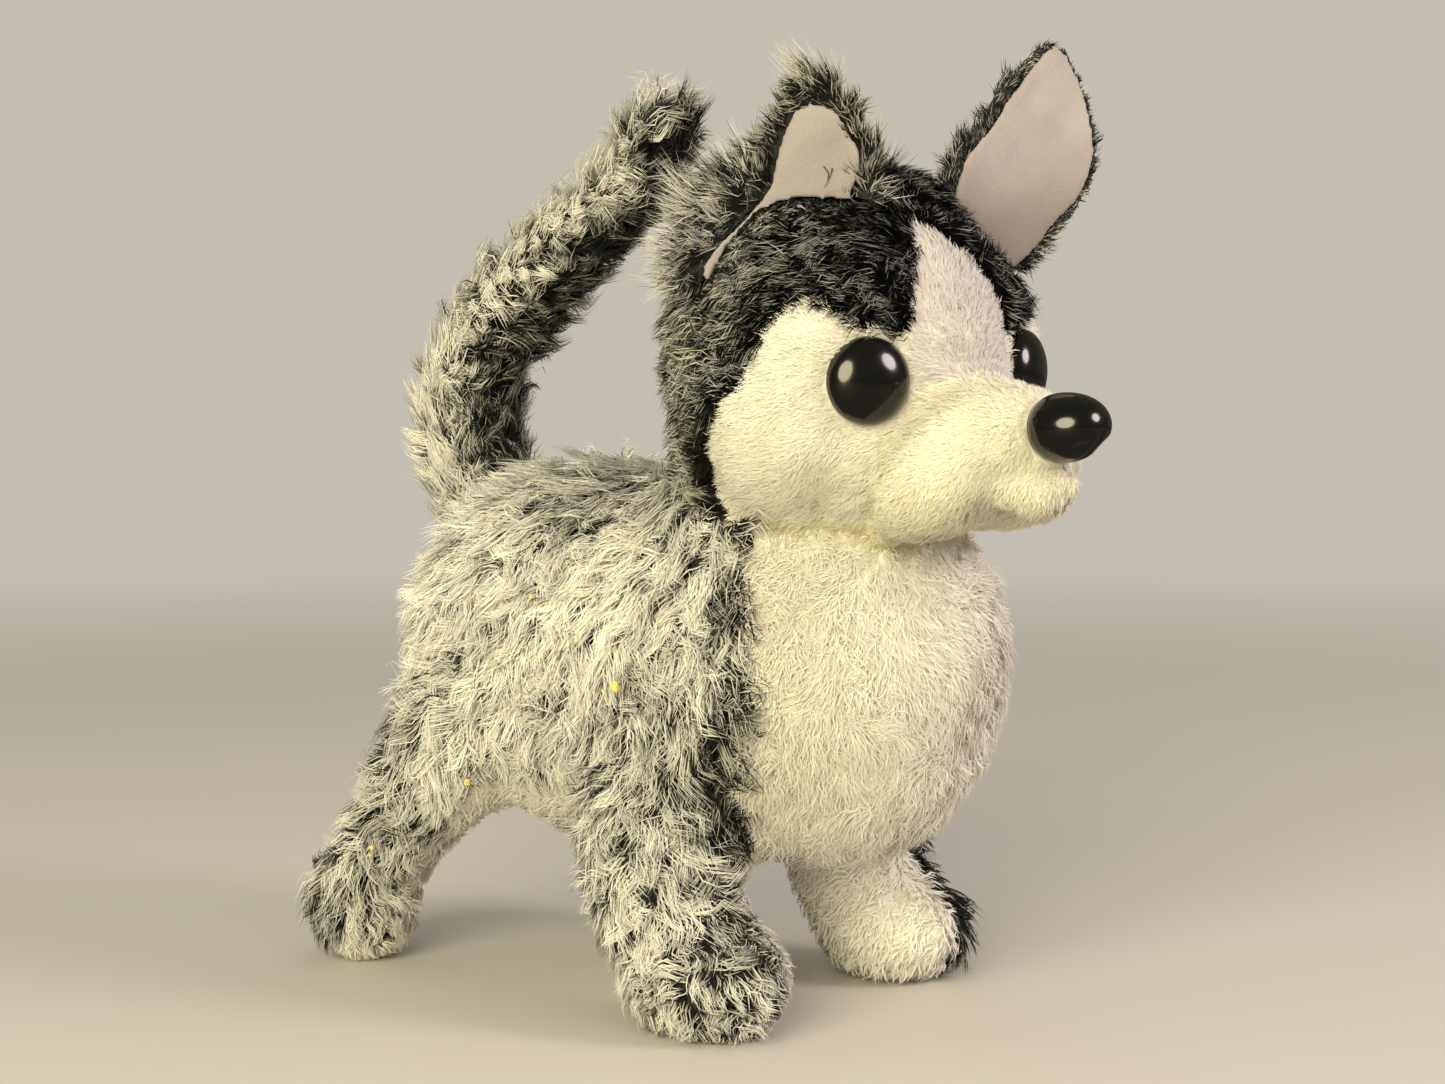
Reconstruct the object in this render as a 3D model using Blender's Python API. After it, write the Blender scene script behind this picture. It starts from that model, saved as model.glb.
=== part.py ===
"""Stuffed plush husky pup: sewn plush panels round one filling, with safety eyes and a moulded nose.

The pup faces -Y, its left side is +X, and its four soles stand on z = 0. Sizes are in millimetres and become metres in
one place each. All the plush panels are cut from one outer skin: the skin is a smooth union of torso, legs, tail, head
and muzzle, every point of it belongs to one panel, and each panel is that patch of the skin given its thickness
inwards. The filling is the same surface moved in past the thickness and a clearance.
"""
import math

import bmesh
import bpy
import numpy as np
from mathutils import Matrix, Vector
from mathutils.bvhtree import BVHTree

MM = 0.001

# Cloth and clearances
SKIN = 2.4  # thickness of the plush with its matted pile
SEAM_GAP = 0.45  # open width of a seam between two panels
FILL_GAP = 0.7  # between the plush and the filling
FIT = 0.35  # round a stem, a washer or an ear root
FLOOR_TRIM = 2.0  # how much of each paw is pressed flat

# Torso
BODY_LENGTH = 142.0  # chest front to rump
BODY_WIDTH = 76.0
BODY_HEIGHT = 82.0
BACK_HEIGHT = 116.0  # top of the back over the floor
CHEST_Y = -80.0  # front of the chest
BELLY_Y = 10.0  # where the belly hangs lowest
BELLY_DROP = 5.0  # and how far under the straight underside
NECK_RADIUS = 30.0

# Legs
LEG_SPREAD = 32.0  # leg centre line from the middle plane
KNEE_HEIGHT = 36.0
FRONT_LEG_RADIUS = 16.5
HIND_LEG_RADIUS = 11.2
PAW_WIDTH = 33.0
PAW_LENGTH = 38.5
HIND_PAW_SCALE = 0.75
PAW_HEIGHT = 27.0
FRONT_PAW_Y = -36.0
HIND_PAW_Y = {"right": 69.0, "left": 29.0}  # the right hind leg trails, the left one has stepped forward

LEG_SEAMS = {  # how far from the middle plane the white cloth of each leg reaches
    ("front", "right"): 25.0,
    ("front", "left"): 34.0,
    ("hind", "right"): 34.0,
    ("hind", "left"): 32.0,
}
BELLY_SEAM = 13.0  # height of the belly's edge above its lowest point
HIND_SOLE = 5.0  # height to which the white cloth wraps the hind soles

# Tail: centre line as (y, z), with the radius there
TAIL_LINE = ((48.0, 94.0), (61.0, 111.0), (66.0, 131.0), (56.0, 150.0), (33.0, 167.0), (12.0, 180.0), (3.0, 194.0))
TAIL_RADIUS = 11.5
TAIL_TIP_RADIUS = 7.5

# Head
HEAD_CENTRE = (0.0, -50.5, 141.0)
HEAD_WIDTH = 82.0
HEAD_DEPTH = 69.0
HEAD_HEIGHT = 68.0
HEAD_TURN = 7.0  # degrees towards the pup's right
HEAD_ROLL = 3.5  # degrees, the left ear side up
CROWN_RISE = 5.5  # top of the crown over the skull's own roundness
TEMPLE_SIDE = 22.0  # temples out from the middle, beside the eyes
MUZZLE_REACH = 52.0  # head centre to the middle of the muzzle tip
MUZZLE_Z = -19.5  # muzzle centre against the head centre

# Ears, in the head's own frame: ends of the root line, where the tip leans and how far the leaf hollows. The rows of the
# plush leaf and of its lining are (height over the root line, rear edge, front edge), edges from the line's middle. The
# right ear is folded, so its lining shows as a strip that widens to a lobe
EAR_SIZES = {
    "right": dict(
        back=(-34.0, 7.0, 14.0), front=(-9.0, -12.0, 32.0), tip=(-17.0, -6.0, 50.0), hollow=6.0,
        outer=((-8.0, -15.0, 17.0), (0.0, -21.0, 21.8), (3.5, -22.0, 23.2), (8.0, -20.3, 24.2), (11.0, -16.9, 24.7),
               (14.0, -11.0, 25.2), (16.5, 4.0, 25.0), (20.0, 11.2, 24.6), (23.0, 15.8, 23.1), (24.8, 18.3, 21.0)),
        lining=((-8.0, -14.0, 13.0), (0.5, -18.0, 17.5), (2.5, -18.5, 20.0), (4.5, -16.5, 21.3), (6.5, -10.5, 22.4),
                (8.0, -4.0, 22.7), (10.0, 3.6, 22.8), (13.0, 6.9, 22.8), (16.0, 9.8, 22.6), (18.5, 13.0, 21.2),
                (20.3, 15.8, 19.2))),
    "left": dict(
        back=(39.5, -19.0, 20.0), front=(18.0, -11.0, 33.0), tip=(49.0, -17.0, 62.0), hollow=2.5,
        outer=((-8.0, -11.0, 11.0), (0.0, -14.2, 13.2), (5.0, -15.9, 14.3), (11.0, -17.9, 13.2), (17.0, -18.8, 11.4),
               (23.0, -18.6, 9.8), (29.0, -16.6, 8.1), (35.0, -12.6, 6.2), (40.0, -8.0, 4.6), (43.5, -4.0, 1.2)),
        lining=((-8.0, -9.0, 9.0), (1.0, -13.0, 10.8), (7.0, -14.7, 11.7), (13.0, -16.9, 9.9), (19.0, -17.6, 8.0),
                (25.0, -16.8, 6.9), (31.0, -13.6, 5.1), (36.0, -9.8, 3.6), (40.0, -6.0, 2.2), (42.3, -3.2, 0.3))),
}
EAR_CLOTH = 1.7
EAR_LINING = 1.2

# Eyes and nose, all in the head's own frame
EYE_DIAMETER = 17.6
EYE_SIDE = 23.7
EYE_DROP = 6.0
EYE_SPLAY = 22.0  # degrees from straight ahead
STEM_RADIUS = 2.4
STEM_LENGTH = 11.0
WASHER_RADIUS = 6.5
NOSE_WASHER_RADIUS = 4.9
WASHER_THICKNESS = 1.2
NOSE_WIDTH = 16.5
NOSE_HEIGHT = 13.8
NOSE_DEPTH = 12.8

# Mesh
VOXEL = 3.0
SKIN_TRIANGLES = 2400

for thing in list(bpy.data.objects):
    bpy.data.objects.remove(thing, do_unlink=True)

ROOT = bpy.data.objects.new("pup", None)
bpy.context.scene.collection.objects.link(ROOT)
headTurn = Matrix.Translation(Vector(HEAD_CENTRE)) @ Matrix.Rotation(math.radians(-HEAD_TURN), 4, "Z")
headFrame = headTurn @ Matrix.Rotation(math.radians(-HEAD_ROLL), 4, "Y")
headInverse = headFrame.inverted()
zoneShapes = {}  # zone name to its rounded volumes, for telling which zone a point of the skin is nearest


def material(name, colour, roughness):
    made = bpy.data.materials.new(name)
    made.use_nodes = True
    shader = made.node_tree.nodes["Principled BSDF"]
    shader.inputs["Base Color"].default_value = (*colour, 1.0)
    shader.inputs["Roughness"].default_value = roughness
    made.diffuse_color = (*colour, 1.0)
    return made


def bring(name, bm):
    """Makes an object from a bmesh whose points are in millimetres."""
    bmesh.ops.scale(bm, vec=(MM, MM, MM), verts=bm.verts)
    mesh = bpy.data.meshes.new(name)
    bm.to_mesh(mesh)
    bm.free()
    made = bpy.data.objects.new(name, mesh)
    bpy.context.scene.collection.objects.link(made)
    return made


def ball(bm, zone, centre, radii, rings=12):
    """One rounded volume; those of the head are given in the head's own frame."""
    zoneShapes.setdefault(zone, []).append((centre, radii))
    place = Matrix.Translation(Vector(centre)) @ Matrix.Diagonal((*radii, 1.0))
    if zone == "head":
        place = headFrame @ place
    bmesh.ops.create_uvsphere(bm, u_segments=rings * 2, v_segments=rings, radius=1.0, matrix=place)


def tube(bm, zone, points, radii, sides=16, steps=5):
    """A round tube through the points, with rounded ends, as a close row of balls on a smooth curve."""
    points = [Vector(p) for p in points]
    count = len(points)
    spots = []
    for i in range(count - 1):
        before, after = points[max(i - 1, 0)], points[min(i + 2, count - 1)]
        for k in range(steps):
            t = k / steps
            a = points[i] * 2.0
            b = (points[i + 1] - before) * t
            c = (before * 2.0 - points[i] * 5.0 + points[i + 1] * 4.0 - after) * t * t
            d = (points[i] * 3.0 - before - points[i + 1] * 3.0 + after) * t ** 3
            spots.append(((a + b + c + d) * 0.5, radii[i] + (radii[i + 1] - radii[i]) * t))
    spots.append((points[-1], radii[-1]))
    for centre, radius in spots:
        ball(bm, zone, centre, (radius, radius, radius), rings=sides // 2)


def nearness(zone, p):
    """Rough distance in millimetres from a point to the rounded volumes of a zone."""
    centres, radii = zoneShapes[zone]
    scaled = (np.array(p) - centres) / radii
    length = np.sqrt((scaled ** 2).sum(axis=1))
    return float(((length - 1.0) * radii.min(axis=1)).min())


def torso(bm):
    halfWidth, halfHeight = BODY_WIDTH / 2, BODY_HEIGHT / 2
    middle = BACK_HEIGHT - halfHeight
    chest = CHEST_Y + halfWidth
    rump = CHEST_Y + BODY_LENGTH - halfWidth
    tube(bm, "body", [(0, chest, middle), (0, (chest + rump) / 2, middle), (0, rump, middle + 1)],
         [halfHeight, halfHeight - 1, halfHeight], sides=28, steps=3)
    ball(bm, "body", (0, chest + 2, middle + 2), (halfWidth, halfWidth, halfHeight), rings=16)
    # Breast, fuller below and above the middle, and the belly between the legs
    ball(bm, "body", (0, chest - 2, middle - 10), (halfWidth * 0.86, halfWidth * 0.97, halfHeight * 0.84), rings=16)
    ball(bm, "body", (0, chest, middle + 13), (halfWidth * 0.88, halfWidth * 0.95, halfHeight * 0.66), rings=16)
    ball(bm, "body", (0, BELLY_Y, middle - halfHeight * 0.62),
         (halfWidth * 0.78, 36.0, BELLY_DROP + halfHeight * 0.38), rings=16)
    tube(bm, "neck", [(0, chest + 4, BACK_HEIGHT - 34), (0, HEAD_CENTRE[1] + 6, HEAD_CENTRE[2] - 12)],
         [NECK_RADIUS + 3, NECK_RADIUS], sides=24, steps=4)


def legs(bm):
    middle = BACK_HEIGHT - BODY_HEIGHT / 2
    pawZ = PAW_HEIGHT / 2 - FLOOR_TRIM
    hipY = CHEST_Y + BODY_LENGTH - 30.0
    front, hind = FRONT_LEG_RADIUS, HIND_LEG_RADIUS
    for side, sign in (("right", -1), ("left", 1)):
        foot, knee, hip = sign * LEG_SPREAD, sign * (LEG_SPREAD - 1), sign * (BODY_WIDTH / 2 - 15.0)
        tube(bm, "body", [(hip, FRONT_PAW_Y + 11, middle - 14), (knee, FRONT_PAW_Y + 10, KNEE_HEIGHT - 2),
                          (foot, FRONT_PAW_Y + 5, 17)], [front + 4, front, front - 2])
        ball(bm, "body", (foot, FRONT_PAW_Y - 3, pawZ), (PAW_WIDTH / 2, PAW_LENGTH / 2, PAW_HEIGHT / 2))
        hindY = HIND_PAW_Y[side]
        tube(bm, "body", [(hip, hipY, middle - 12), (knee, (hipY + hindY) / 2 + 1, KNEE_HEIGHT),
                          (foot, hindY + 1, 15)], [hind + 8, hind + 1, hind])
        ball(bm, "body", (foot, hindY - 1, pawZ),
             (PAW_WIDTH / 2 * HIND_PAW_SCALE, PAW_LENGTH / 2 * HIND_PAW_SCALE, PAW_HEIGHT / 2))


def tail(bm):
    count = len(TAIL_LINE)
    radii = [TAIL_RADIUS + (TAIL_TIP_RADIUS - TAIL_RADIUS) * max(0, i - 2) / (count - 3) for i in range(count)]
    tube(bm, "tail", [(0, y, z) for y, z in TAIL_LINE], radii, steps=6)


def head(bm):
    """Skull, cheeks, jowls, lips and chin, all in the head's own frame."""
    tip = -MUZZLE_REACH
    ball(bm, "head", (0, 0, 0), (HEAD_WIDTH / 2, HEAD_DEPTH / 2, HEAD_HEIGHT / 2), rings=18)
    crown = HEAD_HEIGHT / 2 - 3.5
    ball(bm, "head", (0, 4, CROWN_RISE + 3.5), (HEAD_WIDTH / 2 - 7, HEAD_DEPTH / 2 - 8.5, crown), rings=16)
    # The crown is pushed up beside the standing left ear
    ball(bm, "head", (12, 2, CROWN_RISE + 4.5), (HEAD_WIDTH / 2 - 17, HEAD_DEPTH / 2 - 10.5, crown - 1.0), rings=16)
    for sign in (-1, 1):
        ball(bm, "head", (sign * (HEAD_WIDTH / 2 - 19), -4, -15), (20, 21, 18))
        ball(bm, "head", (sign * TEMPLE_SIDE, -12, 2), (17.5, 17.5, 16))
        ball(bm, "head", (sign * 13, tip + 22, MUZZLE_Z - 6), (13, 16, 12.5))
        ball(bm, "head", (sign * 7, tip + 12, MUZZLE_Z - 3), (11.5, 13, 11))
    ball(bm, "head", (0, tip + 20, MUZZLE_Z - 1), (20, 20, 13))
    ball(bm, "head", (0, tip + 3, MUZZLE_Z + 1), (10.5, 9, 9.5))
    ball(bm, "head", (0, tip + 2, MUZZLE_Z - 7.5), (10.5, 9, 8.5))


def outerSkin():
    """One closed surface of the whole pup, from rounded volumes run together."""
    bm = bmesh.new()
    for make in (torso, legs, tail, head):
        make(bm)
    for zone, shapes in zoneShapes.items():
        zoneShapes[zone] = (np.array([list(c) for c, _ in shapes]), np.array([list(r) for _, r in shapes]))
    whole = bring("outer", bm)
    whole.data.name = "outer"
    for kind, name, settings in (
        ("REMESH", "run_together", dict(mode="VOXEL", voxel_size=VOXEL * MM, adaptivity=0.0)),
        ("SMOOTH", "soften", dict(factor=0.5, iterations=4)),
    ):
        added = whole.modifiers.new(name, kind)
        for key, value in settings.items():
            setattr(added, key, value)
    bpy.context.view_layer.update()
    shaped = bpy.data.meshes.new_from_object(whole.evaluated_get(bpy.context.evaluated_depsgraph_get()))
    faces = sum(len(p.vertices) - 2 for p in shaped.polygons)
    whole.modifiers.clear()
    whole.data = shaped
    thin = whole.modifiers.new("fewer", "DECIMATE")
    thin.ratio = SKIN_TRIANGLES / faces
    bpy.context.view_layer.update()
    thinned = bpy.data.meshes.new_from_object(whole.evaluated_get(bpy.context.evaluated_depsgraph_get()))
    bpy.data.objects.remove(whole, do_unlink=True)
    bm = bmesh.new()
    bm.from_mesh(thinned)
    bmesh.ops.scale(bm, vec=(1 / MM, 1 / MM, 1 / MM), verts=bm.verts)
    # Soles: what is under the floor is trimmed off flat
    cut = bmesh.ops.bisect_plane(bm, geom=bm.verts[:] + bm.edges[:] + bm.faces[:], plane_co=(0, 0, 0),
                                 plane_no=(0, 0, 1), clear_inner=True, dist=0.02)
    rim = [e for e in cut["geom_cut"] if isinstance(e, bmesh.types.BMEdge) and e.is_boundary]
    bmesh.ops.edgeloop_fill(bm, edges=rim)
    bmesh.ops.triangulate(bm, faces=bm.faces[:])
    bmesh.ops.recalc_face_normals(bm, faces=bm.faces[:])
    return bm


def headPanel(p):
    """Panel of the head at a point in the head's own frame."""
    side = "left" if p.x > 0 else "right"
    ahead, across, up = -p.y, abs(p.x), p.z
    turn = math.degrees(math.atan2(across, ahead))
    # Muzzle: what stands ahead of the crease round its root
    reach = MUZZLE_REACH + np.interp(up - MUZZLE_Z, [-20.0, -12.0, 0.0, 9.5, 14.0], [-34.0, -28.0, -21.0, -19.0, -16.0])
    if ahead > reach and up < MUZZLE_Z + 15.0 and across < 28.0:
        if up < MUZZLE_Z - 4.5 and ahead > MUZZLE_REACH - 7.0 and across < 10.5:
            return "chin"
        return "muzzle"
    # Blaze: a white wedge, its tip up on the forehead
    blazeHalf = np.interp(up, [-12.0, 3.0, 9.0, 17.0, 27.0], [9.0, 14.0, 12.0, 8.0, 0.0])
    if ahead > 0 and across < blazeHalf:
        return "blaze"
    # Cheek: below the brow line and ahead of the line behind the eye
    brow = np.interp(turn, [20.0, 27.0, 41.0, 55.0, 63.0], [1.0, 3.0, 6.5, 11.0, 12.0])
    back = np.interp(up, [-38.0, -30.0, -17.0, -5.0, 5.0, 12.0], [92.0, 98.0, 94.0, 78.0, 70.0, 61.0])
    if turn < back and up < brow:
        return "cheek_" + side
    if turn < 86.0:
        return "crown_" + side
    return "head_back_" + side


def panel(p):
    """Panel of the skin at a point in millimetres."""
    side = "left" if p.x > 0 else "right"
    inHead = headInverse @ p
    toBody, toHead, toTail = nearness("body", p), nearness("head", inHead), nearness("tail", p)
    if toTail < min(toBody - 1.0, toHead):
        return "tail_skin"
    if toHead < toBody + 1.0 and p.z > BACK_HEIGHT - 22.0:
        return headPanel(inHead)
    bibHalf = np.interp(p.z, [BACK_HEIGHT - BODY_HEIGHT - 6, 38.0, 46.0, 57.0, 80.0], [10.0, 24.0, 32.0, 37.0, 39.0])
    bibBack = CHEST_Y + np.interp(p.z, [30.0, 45.0, 57.0, 80.0, 105.0], [30.0, 35.0, 33.0, 27.0, 31.0])
    if p.y < bibBack and abs(p.x) < bibHalf:
        return "chest_bib"
    pair = "front" if p.y < -8.0 else "hind"
    if abs(p.x) < LEG_SEAMS[pair, side] and p.z < BACK_HEIGHT - BODY_HEIGHT + BELLY_SEAM:
        return "underbody_" + side
    if pair == "hind" and p.z < HIND_SOLE:
        return "underbody_" + side
    return "side_panel_" + side


def cutPanels(bm):
    """Splits the skin along every seam and says which panel each triangle is in."""
    at = {v: panel(v.co) for v in bm.verts}
    fresh = []
    for edge in list(bm.edges):
        a, b = edge.verts
        if at[a] == at[b]:
            continue
        low, high = 0.0, 1.0
        for _ in range(12):
            half = (low + high) / 2
            if panel(a.co.lerp(b.co, half)) == at[a]:
                low = half
            else:
                high = half
        low = min(max(low, 0.12), 0.88)
        fresh.append((edge, a, low))
    seam = []
    for edge, start, where in fresh:
        _, made = bmesh.utils.edge_split(edge, start, where)
        seam.append(made)
    bmesh.ops.connect_verts(bm, verts=seam, check_degenerate=False)
    bmesh.ops.triangulate(bm, faces=bm.faces[:])
    bm.faces.index_update()
    bm.faces.ensure_lookup_table()
    name = [panel(f.calc_center_median()) for f in bm.faces]
    # A triangle with most of its neighbours in another panel joins them, which takes spikes off the seams
    for _ in range(3):
        for face in bm.faces:
            near = [name[o.index] for e in face.edges for o in e.link_faces if o is not face]
            best = max(sorted(set(near)), key=near.count)
            if near.count(best) >= 2 and name[face.index] != best and near.count(name[face.index]) < 2:
                name[face.index] = best
    # A patch that stands apart from the rest of its panel goes to its neighbour
    for _ in range(4):
        seen, groups = set(), []
        for face in bm.faces:
            if face.index in seen:
                continue
            group, front = [], [face]
            seen.add(face.index)
            while front:
                here = front.pop()
                group.append(here)
                for edge in here.edges:
                    for other in edge.link_faces:
                        if other.index not in seen and name[other.index] == name[here.index]:
                            seen.add(other.index)
                            front.append(other)
            groups.append(group)
        largest = {}
        for group in groups:
            key = name[group[0].index]
            if key not in largest or len(group) > len(largest[key]):
                largest[key] = group
        changed = False
        for group in groups:
            key = name[group[0].index]
            if group is largest[key]:
                continue
            around = {}
            for face in group:
                for edge in face.edges:
                    for other in edge.link_faces:
                        if name[other.index] != key:
                            around[name[other.index]] = around.get(name[other.index], 0.0) + edge.calc_length()
            if around:
                best = max(sorted(around), key=lambda k: around[k])
                for face in group:
                    name[face.index] = best
                changed = True
        if not changed:
            break
    return name


def inwardNormals(bm):
    """The normal of each point, evened out over its neighbours so that walls don't twist."""
    bm.normal_update()
    even = [v.normal.copy() for v in bm.verts]
    for _ in range(2):
        mixed = []
        for v in bm.verts:
            total = even[v.index] * 2.0
            for edge in v.link_edges:
                total = total + even[edge.other_vert(v).index]
            mixed.append(total.normalized())
        even = mixed
    return even


def patchSolid(bm, name, wanted):
    """Gives one panel its thickness: the patch outside, a copy moved in along the normals, and walls at its edge."""
    faces = [f for f in bm.faces if name[f.index] == wanted]
    inside = {f.index for f in faces}
    out = bmesh.new()
    corner = {}
    for v in {v for f in faces for v in f.verts}:
        left = {f.index: f for f in v.link_faces if f.index in inside}
        while left:
            # Faces round this point that hang together by an edge share its copy; a fan apart gets its own
            fan = [left.pop(min(left))]
            for face in fan:
                for edge in face.edges:
                    if v in edge.verts:
                        fan += [left.pop(o.index) for o in edge.link_faces if o.index in left]
            inward, walls = Vector(), 0
            for face in fan:
                for edge in face.edges:
                    if v not in edge.verts or all(o.index in inside for o in edge.link_faces):
                        continue
                    step = face.normal.cross(edge.verts[1].co - edge.verts[0].co).normalized()
                    if step.dot(face.calc_center_median() - edge.verts[0].co) < 0:
                        step.negate()
                    inward += step
                    walls += 1
            # At a corner of the seam the point moves further, so both walls keep the full gap
            move = inward.normalized() * (SEAM_GAP / 2 / max(inward.length / max(walls, 1), 0.45))
            pair = (out.verts.new(v.co + move), out.verts.new(v.co + move - normals[v.index] * SKIN))
            for face in fan:
                corner[v.index, face.index] = pair
    for face in faces:
        here = [corner[v.index, face.index] for v in face.verts]
        out.faces.new([pair[0] for pair in here])
        out.faces.new([pair[1] for pair in reversed(here)])
        for loop in face.loops:
            if all(other.index in inside for other in loop.edge.link_faces):
                continue
            a, b = corner[loop.vert.index, face.index], corner[loop.link_loop_next.vert.index, face.index]
            out.faces.new([a[0], a[1], b[1], b[0]])
    bmesh.ops.triangulate(out, faces=out.faces[:])
    bmesh.ops.recalc_face_normals(out, faces=out.faces[:])
    return bring(wanted, out)


def shifted(bm, amount, name):
    """A copy of the whole skin moved along its normals."""
    copy = bm.copy()
    for v, direction in zip(copy.verts, normals):
        v.co += direction * amount
    bmesh.ops.recalc_face_normals(copy, faces=copy.faces[:])
    return bring(name, copy)


def boolean(target, cutter, kind="DIFFERENCE"):
    step = target.modifiers.new("cut", "BOOLEAN")
    step.object = cutter
    step.operation = kind
    step.solver = "EXACT"
    bpy.context.view_layer.update()
    made = bpy.data.meshes.new_from_object(target.evaluated_get(bpy.context.evaluated_depsgraph_get()))
    target.modifiers.clear()
    target.data = made
    bm = bmesh.new()
    bm.from_mesh(made)
    bmesh.ops.remove_doubles(bm, verts=bm.verts[:], dist=0.01 * MM)
    bmesh.ops.triangulate(bm, faces=bm.faces[:])
    bm.to_mesh(made)
    bm.free()


def lathe(name, outline, frame, sides=20, stretch=(1.0, 1.0)):
    """Turns an outline of (radius, height) round its own Z and places it by the frame, all in millimetres."""
    bm = bmesh.new()
    rings = []
    for radius, height in outline:
        if radius < 1e-6:
            rings.append([bm.verts.new((0, 0, height))])
            continue
        ring = []
        for k in range(sides):
            a = math.tau * k / sides
            ring.append(bm.verts.new((radius * math.cos(a) * stretch[0], radius * math.sin(a) * stretch[1], height)))
        rings.append(ring)
    for low, high in zip(rings, rings[1:]):
        for k in range(sides):
            n = (k + 1) % sides
            if len(low) == 1:
                bm.faces.new([low[0], high[n], high[k]])
            elif len(high) == 1:
                bm.faces.new([low[k], low[n], high[0]])
            else:
                bm.faces.new([low[k], low[n], high[n], high[k]])
    bmesh.ops.recalc_face_normals(bm, faces=bm.faces[:])
    bmesh.ops.transform(bm, matrix=frame, verts=bm.verts)
    return bring(name, bm)


def ring(name, hole, outer, low, high, frame, sides=20):
    """A flat washer."""
    bm = bmesh.new()
    loops = []
    for radius, height in ((hole, low), (outer, low), (outer, high), (hole, high)):
        loops.append([bm.verts.new((radius * math.cos(math.tau * k / sides), radius * math.sin(math.tau * k / sides),
                                    height)) for k in range(sides)])
    for i in range(4):
        one, two = loops[i], loops[(i + 1) % 4]
        for k in range(sides):
            n = (k + 1) % sides
            bm.faces.new([one[k], one[n], two[n], two[k]])
    bmesh.ops.recalc_face_normals(bm, faces=bm.faces[:])
    bmesh.ops.transform(bm, matrix=frame, verts=bm.verts)
    return bring(name, bm)


def earLeaf(name, size, rows, low, high):
    """An ear leaf between two offsets from the ear's hollowed middle surface, sunk into the head at its root."""
    back, front, tip = (Vector(size[key]) for key in ("back", "front", "tip"))
    root = (back + front) / 2
    across = (front - back).normalized()
    facing = across.cross(tip - root).normalized()
    if facing.y > 0:
        facing.negate()
    upward = facing.cross(across)
    if upward.dot(tip - root) < 0:
        upward.negate()
    halfWidth = max(fore - rear for _, rear, fore in size["outer"]) / 2
    columns = 9
    bm = bmesh.new()
    grids = []
    for offset in (low, high):
        grid = []
        for height, rear, fore in rows:
            line = []
            for i in range(columns + 1):
                u = rear + (fore - rear) * i / columns
                curl = size["hollow"] * (u / halfWidth) ** 2
                normal = (facing - across * (2 * size["hollow"] * u / halfWidth ** 2)).normalized()
                line.append(bm.verts.new(root + upward * height + across * u + facing * curl + normal * offset))
            grid.append(line)
        grids.append(grid)
    last = len(rows) - 1
    for grid in grids:
        for j in range(last):
            for i in range(columns):
                bm.faces.new([grid[j][i], grid[j][i + 1], grid[j + 1][i + 1], grid[j + 1][i]])
    one, two = grids
    rim = [(0, i) for i in range(columns)] + [(j, columns) for j in range(last)]
    rim += [(last, i) for i in range(columns, 0, -1)] + [(j, 0) for j in range(last, 0, -1)]
    for k, (j, i) in enumerate(rim):
        nj, ni = rim[(k + 1) % len(rim)]
        bm.faces.new([one[j][i], one[nj][ni], two[nj][ni], two[j][i]])
    bmesh.ops.triangulate(bm, faces=bm.faces[:])
    bmesh.ops.recalc_face_normals(bm, faces=bm.faces[:])
    bmesh.ops.transform(bm, matrix=headFrame, verts=bm.verts)
    return bring(name, bm)


def facingFrame(spot, direction):
    """A frame with its Z along the direction, both in the head's own frame."""
    turn = Vector(direction).to_track_quat("Z", "Y").to_matrix().to_4x4()
    return headFrame @ Matrix.Translation(Vector(spot)) @ turn


def surfaceSpot(tree, spot, direction):
    """Where a line from outside meets the skin, in the head's own frame."""
    outside = headFrame @ (Vector(spot) + Vector(direction) * 60.0)
    heading = (headFrame.to_3x3() @ Vector(direction)).normalized()
    hit, _, _, _ = tree.ray_cast(outside, -heading)
    return headInverse @ hit


plush = {
    "frosted_grey_plush": ((0.30, 0.30, 0.27), 0.95),
    "white_plush": ((0.86, 0.80, 0.72), 0.95),
    "cream_plush": ((0.88, 0.78, 0.58), 0.95),
    "dark_plush": ((0.05, 0.055, 0.06), 0.95),
    "ear_velvet": ((0.80, 0.70, 0.62), 0.9),
    "fibre_filling": ((0.92, 0.92, 0.9), 0.95),
    "black_plastic": ((0.012, 0.012, 0.013), 0.12),
    "washer_plastic": ((0.75, 0.75, 0.73), 0.4),
}
clothOf = {
    "side_panel": "frosted_grey_plush", "tail_skin": "frosted_grey_plush", "head_back": "frosted_grey_plush",
    "underbody": "white_plush", "chest_bib": "white_plush", "blaze": "white_plush", "cheek": "white_plush",
    "crown": "dark_plush", "muzzle": "cream_plush", "chin": "cream_plush", "ear_outer": "frosted_grey_plush",
    "ear_lining": "ear_velvet", "stuffing": "fibre_filling", "eye_washer": "washer_plastic",
    "nose_washer": "washer_plastic", "eye": "black_plastic", "nose": "black_plastic",
}

skin = outerSkin()
panelOf = cutPanels(skin)
skin.verts.index_update()
skin.verts.ensure_lookup_table()
normals = inwardNormals(skin)
parts = {name: patchSolid(skin, panelOf, name) for name in sorted(set(panelOf))}
parts["stuffing"] = shifted(skin, -(SKIN + FILL_GAP), "stuffing")
earClear = shifted(skin, FIT, "ear_clear")
skinTree = BVHTree.FromBMesh(skin)

# Ears: a plush outer leaf and a velvet lining in front of it
for side, size in EAR_SIZES.items():
    for kind, low, high in (("outer", -EAR_CLOTH, 0.0), ("lining", FIT, FIT + EAR_LINING)):
        leaf = earLeaf(f"ear_{kind}_{side}", size, size[kind], low, high)
        boolean(leaf, earClear)
        parts[f"ear_{kind}_{side}"] = leaf
bpy.data.objects.remove(earClear, do_unlink=True)


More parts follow.
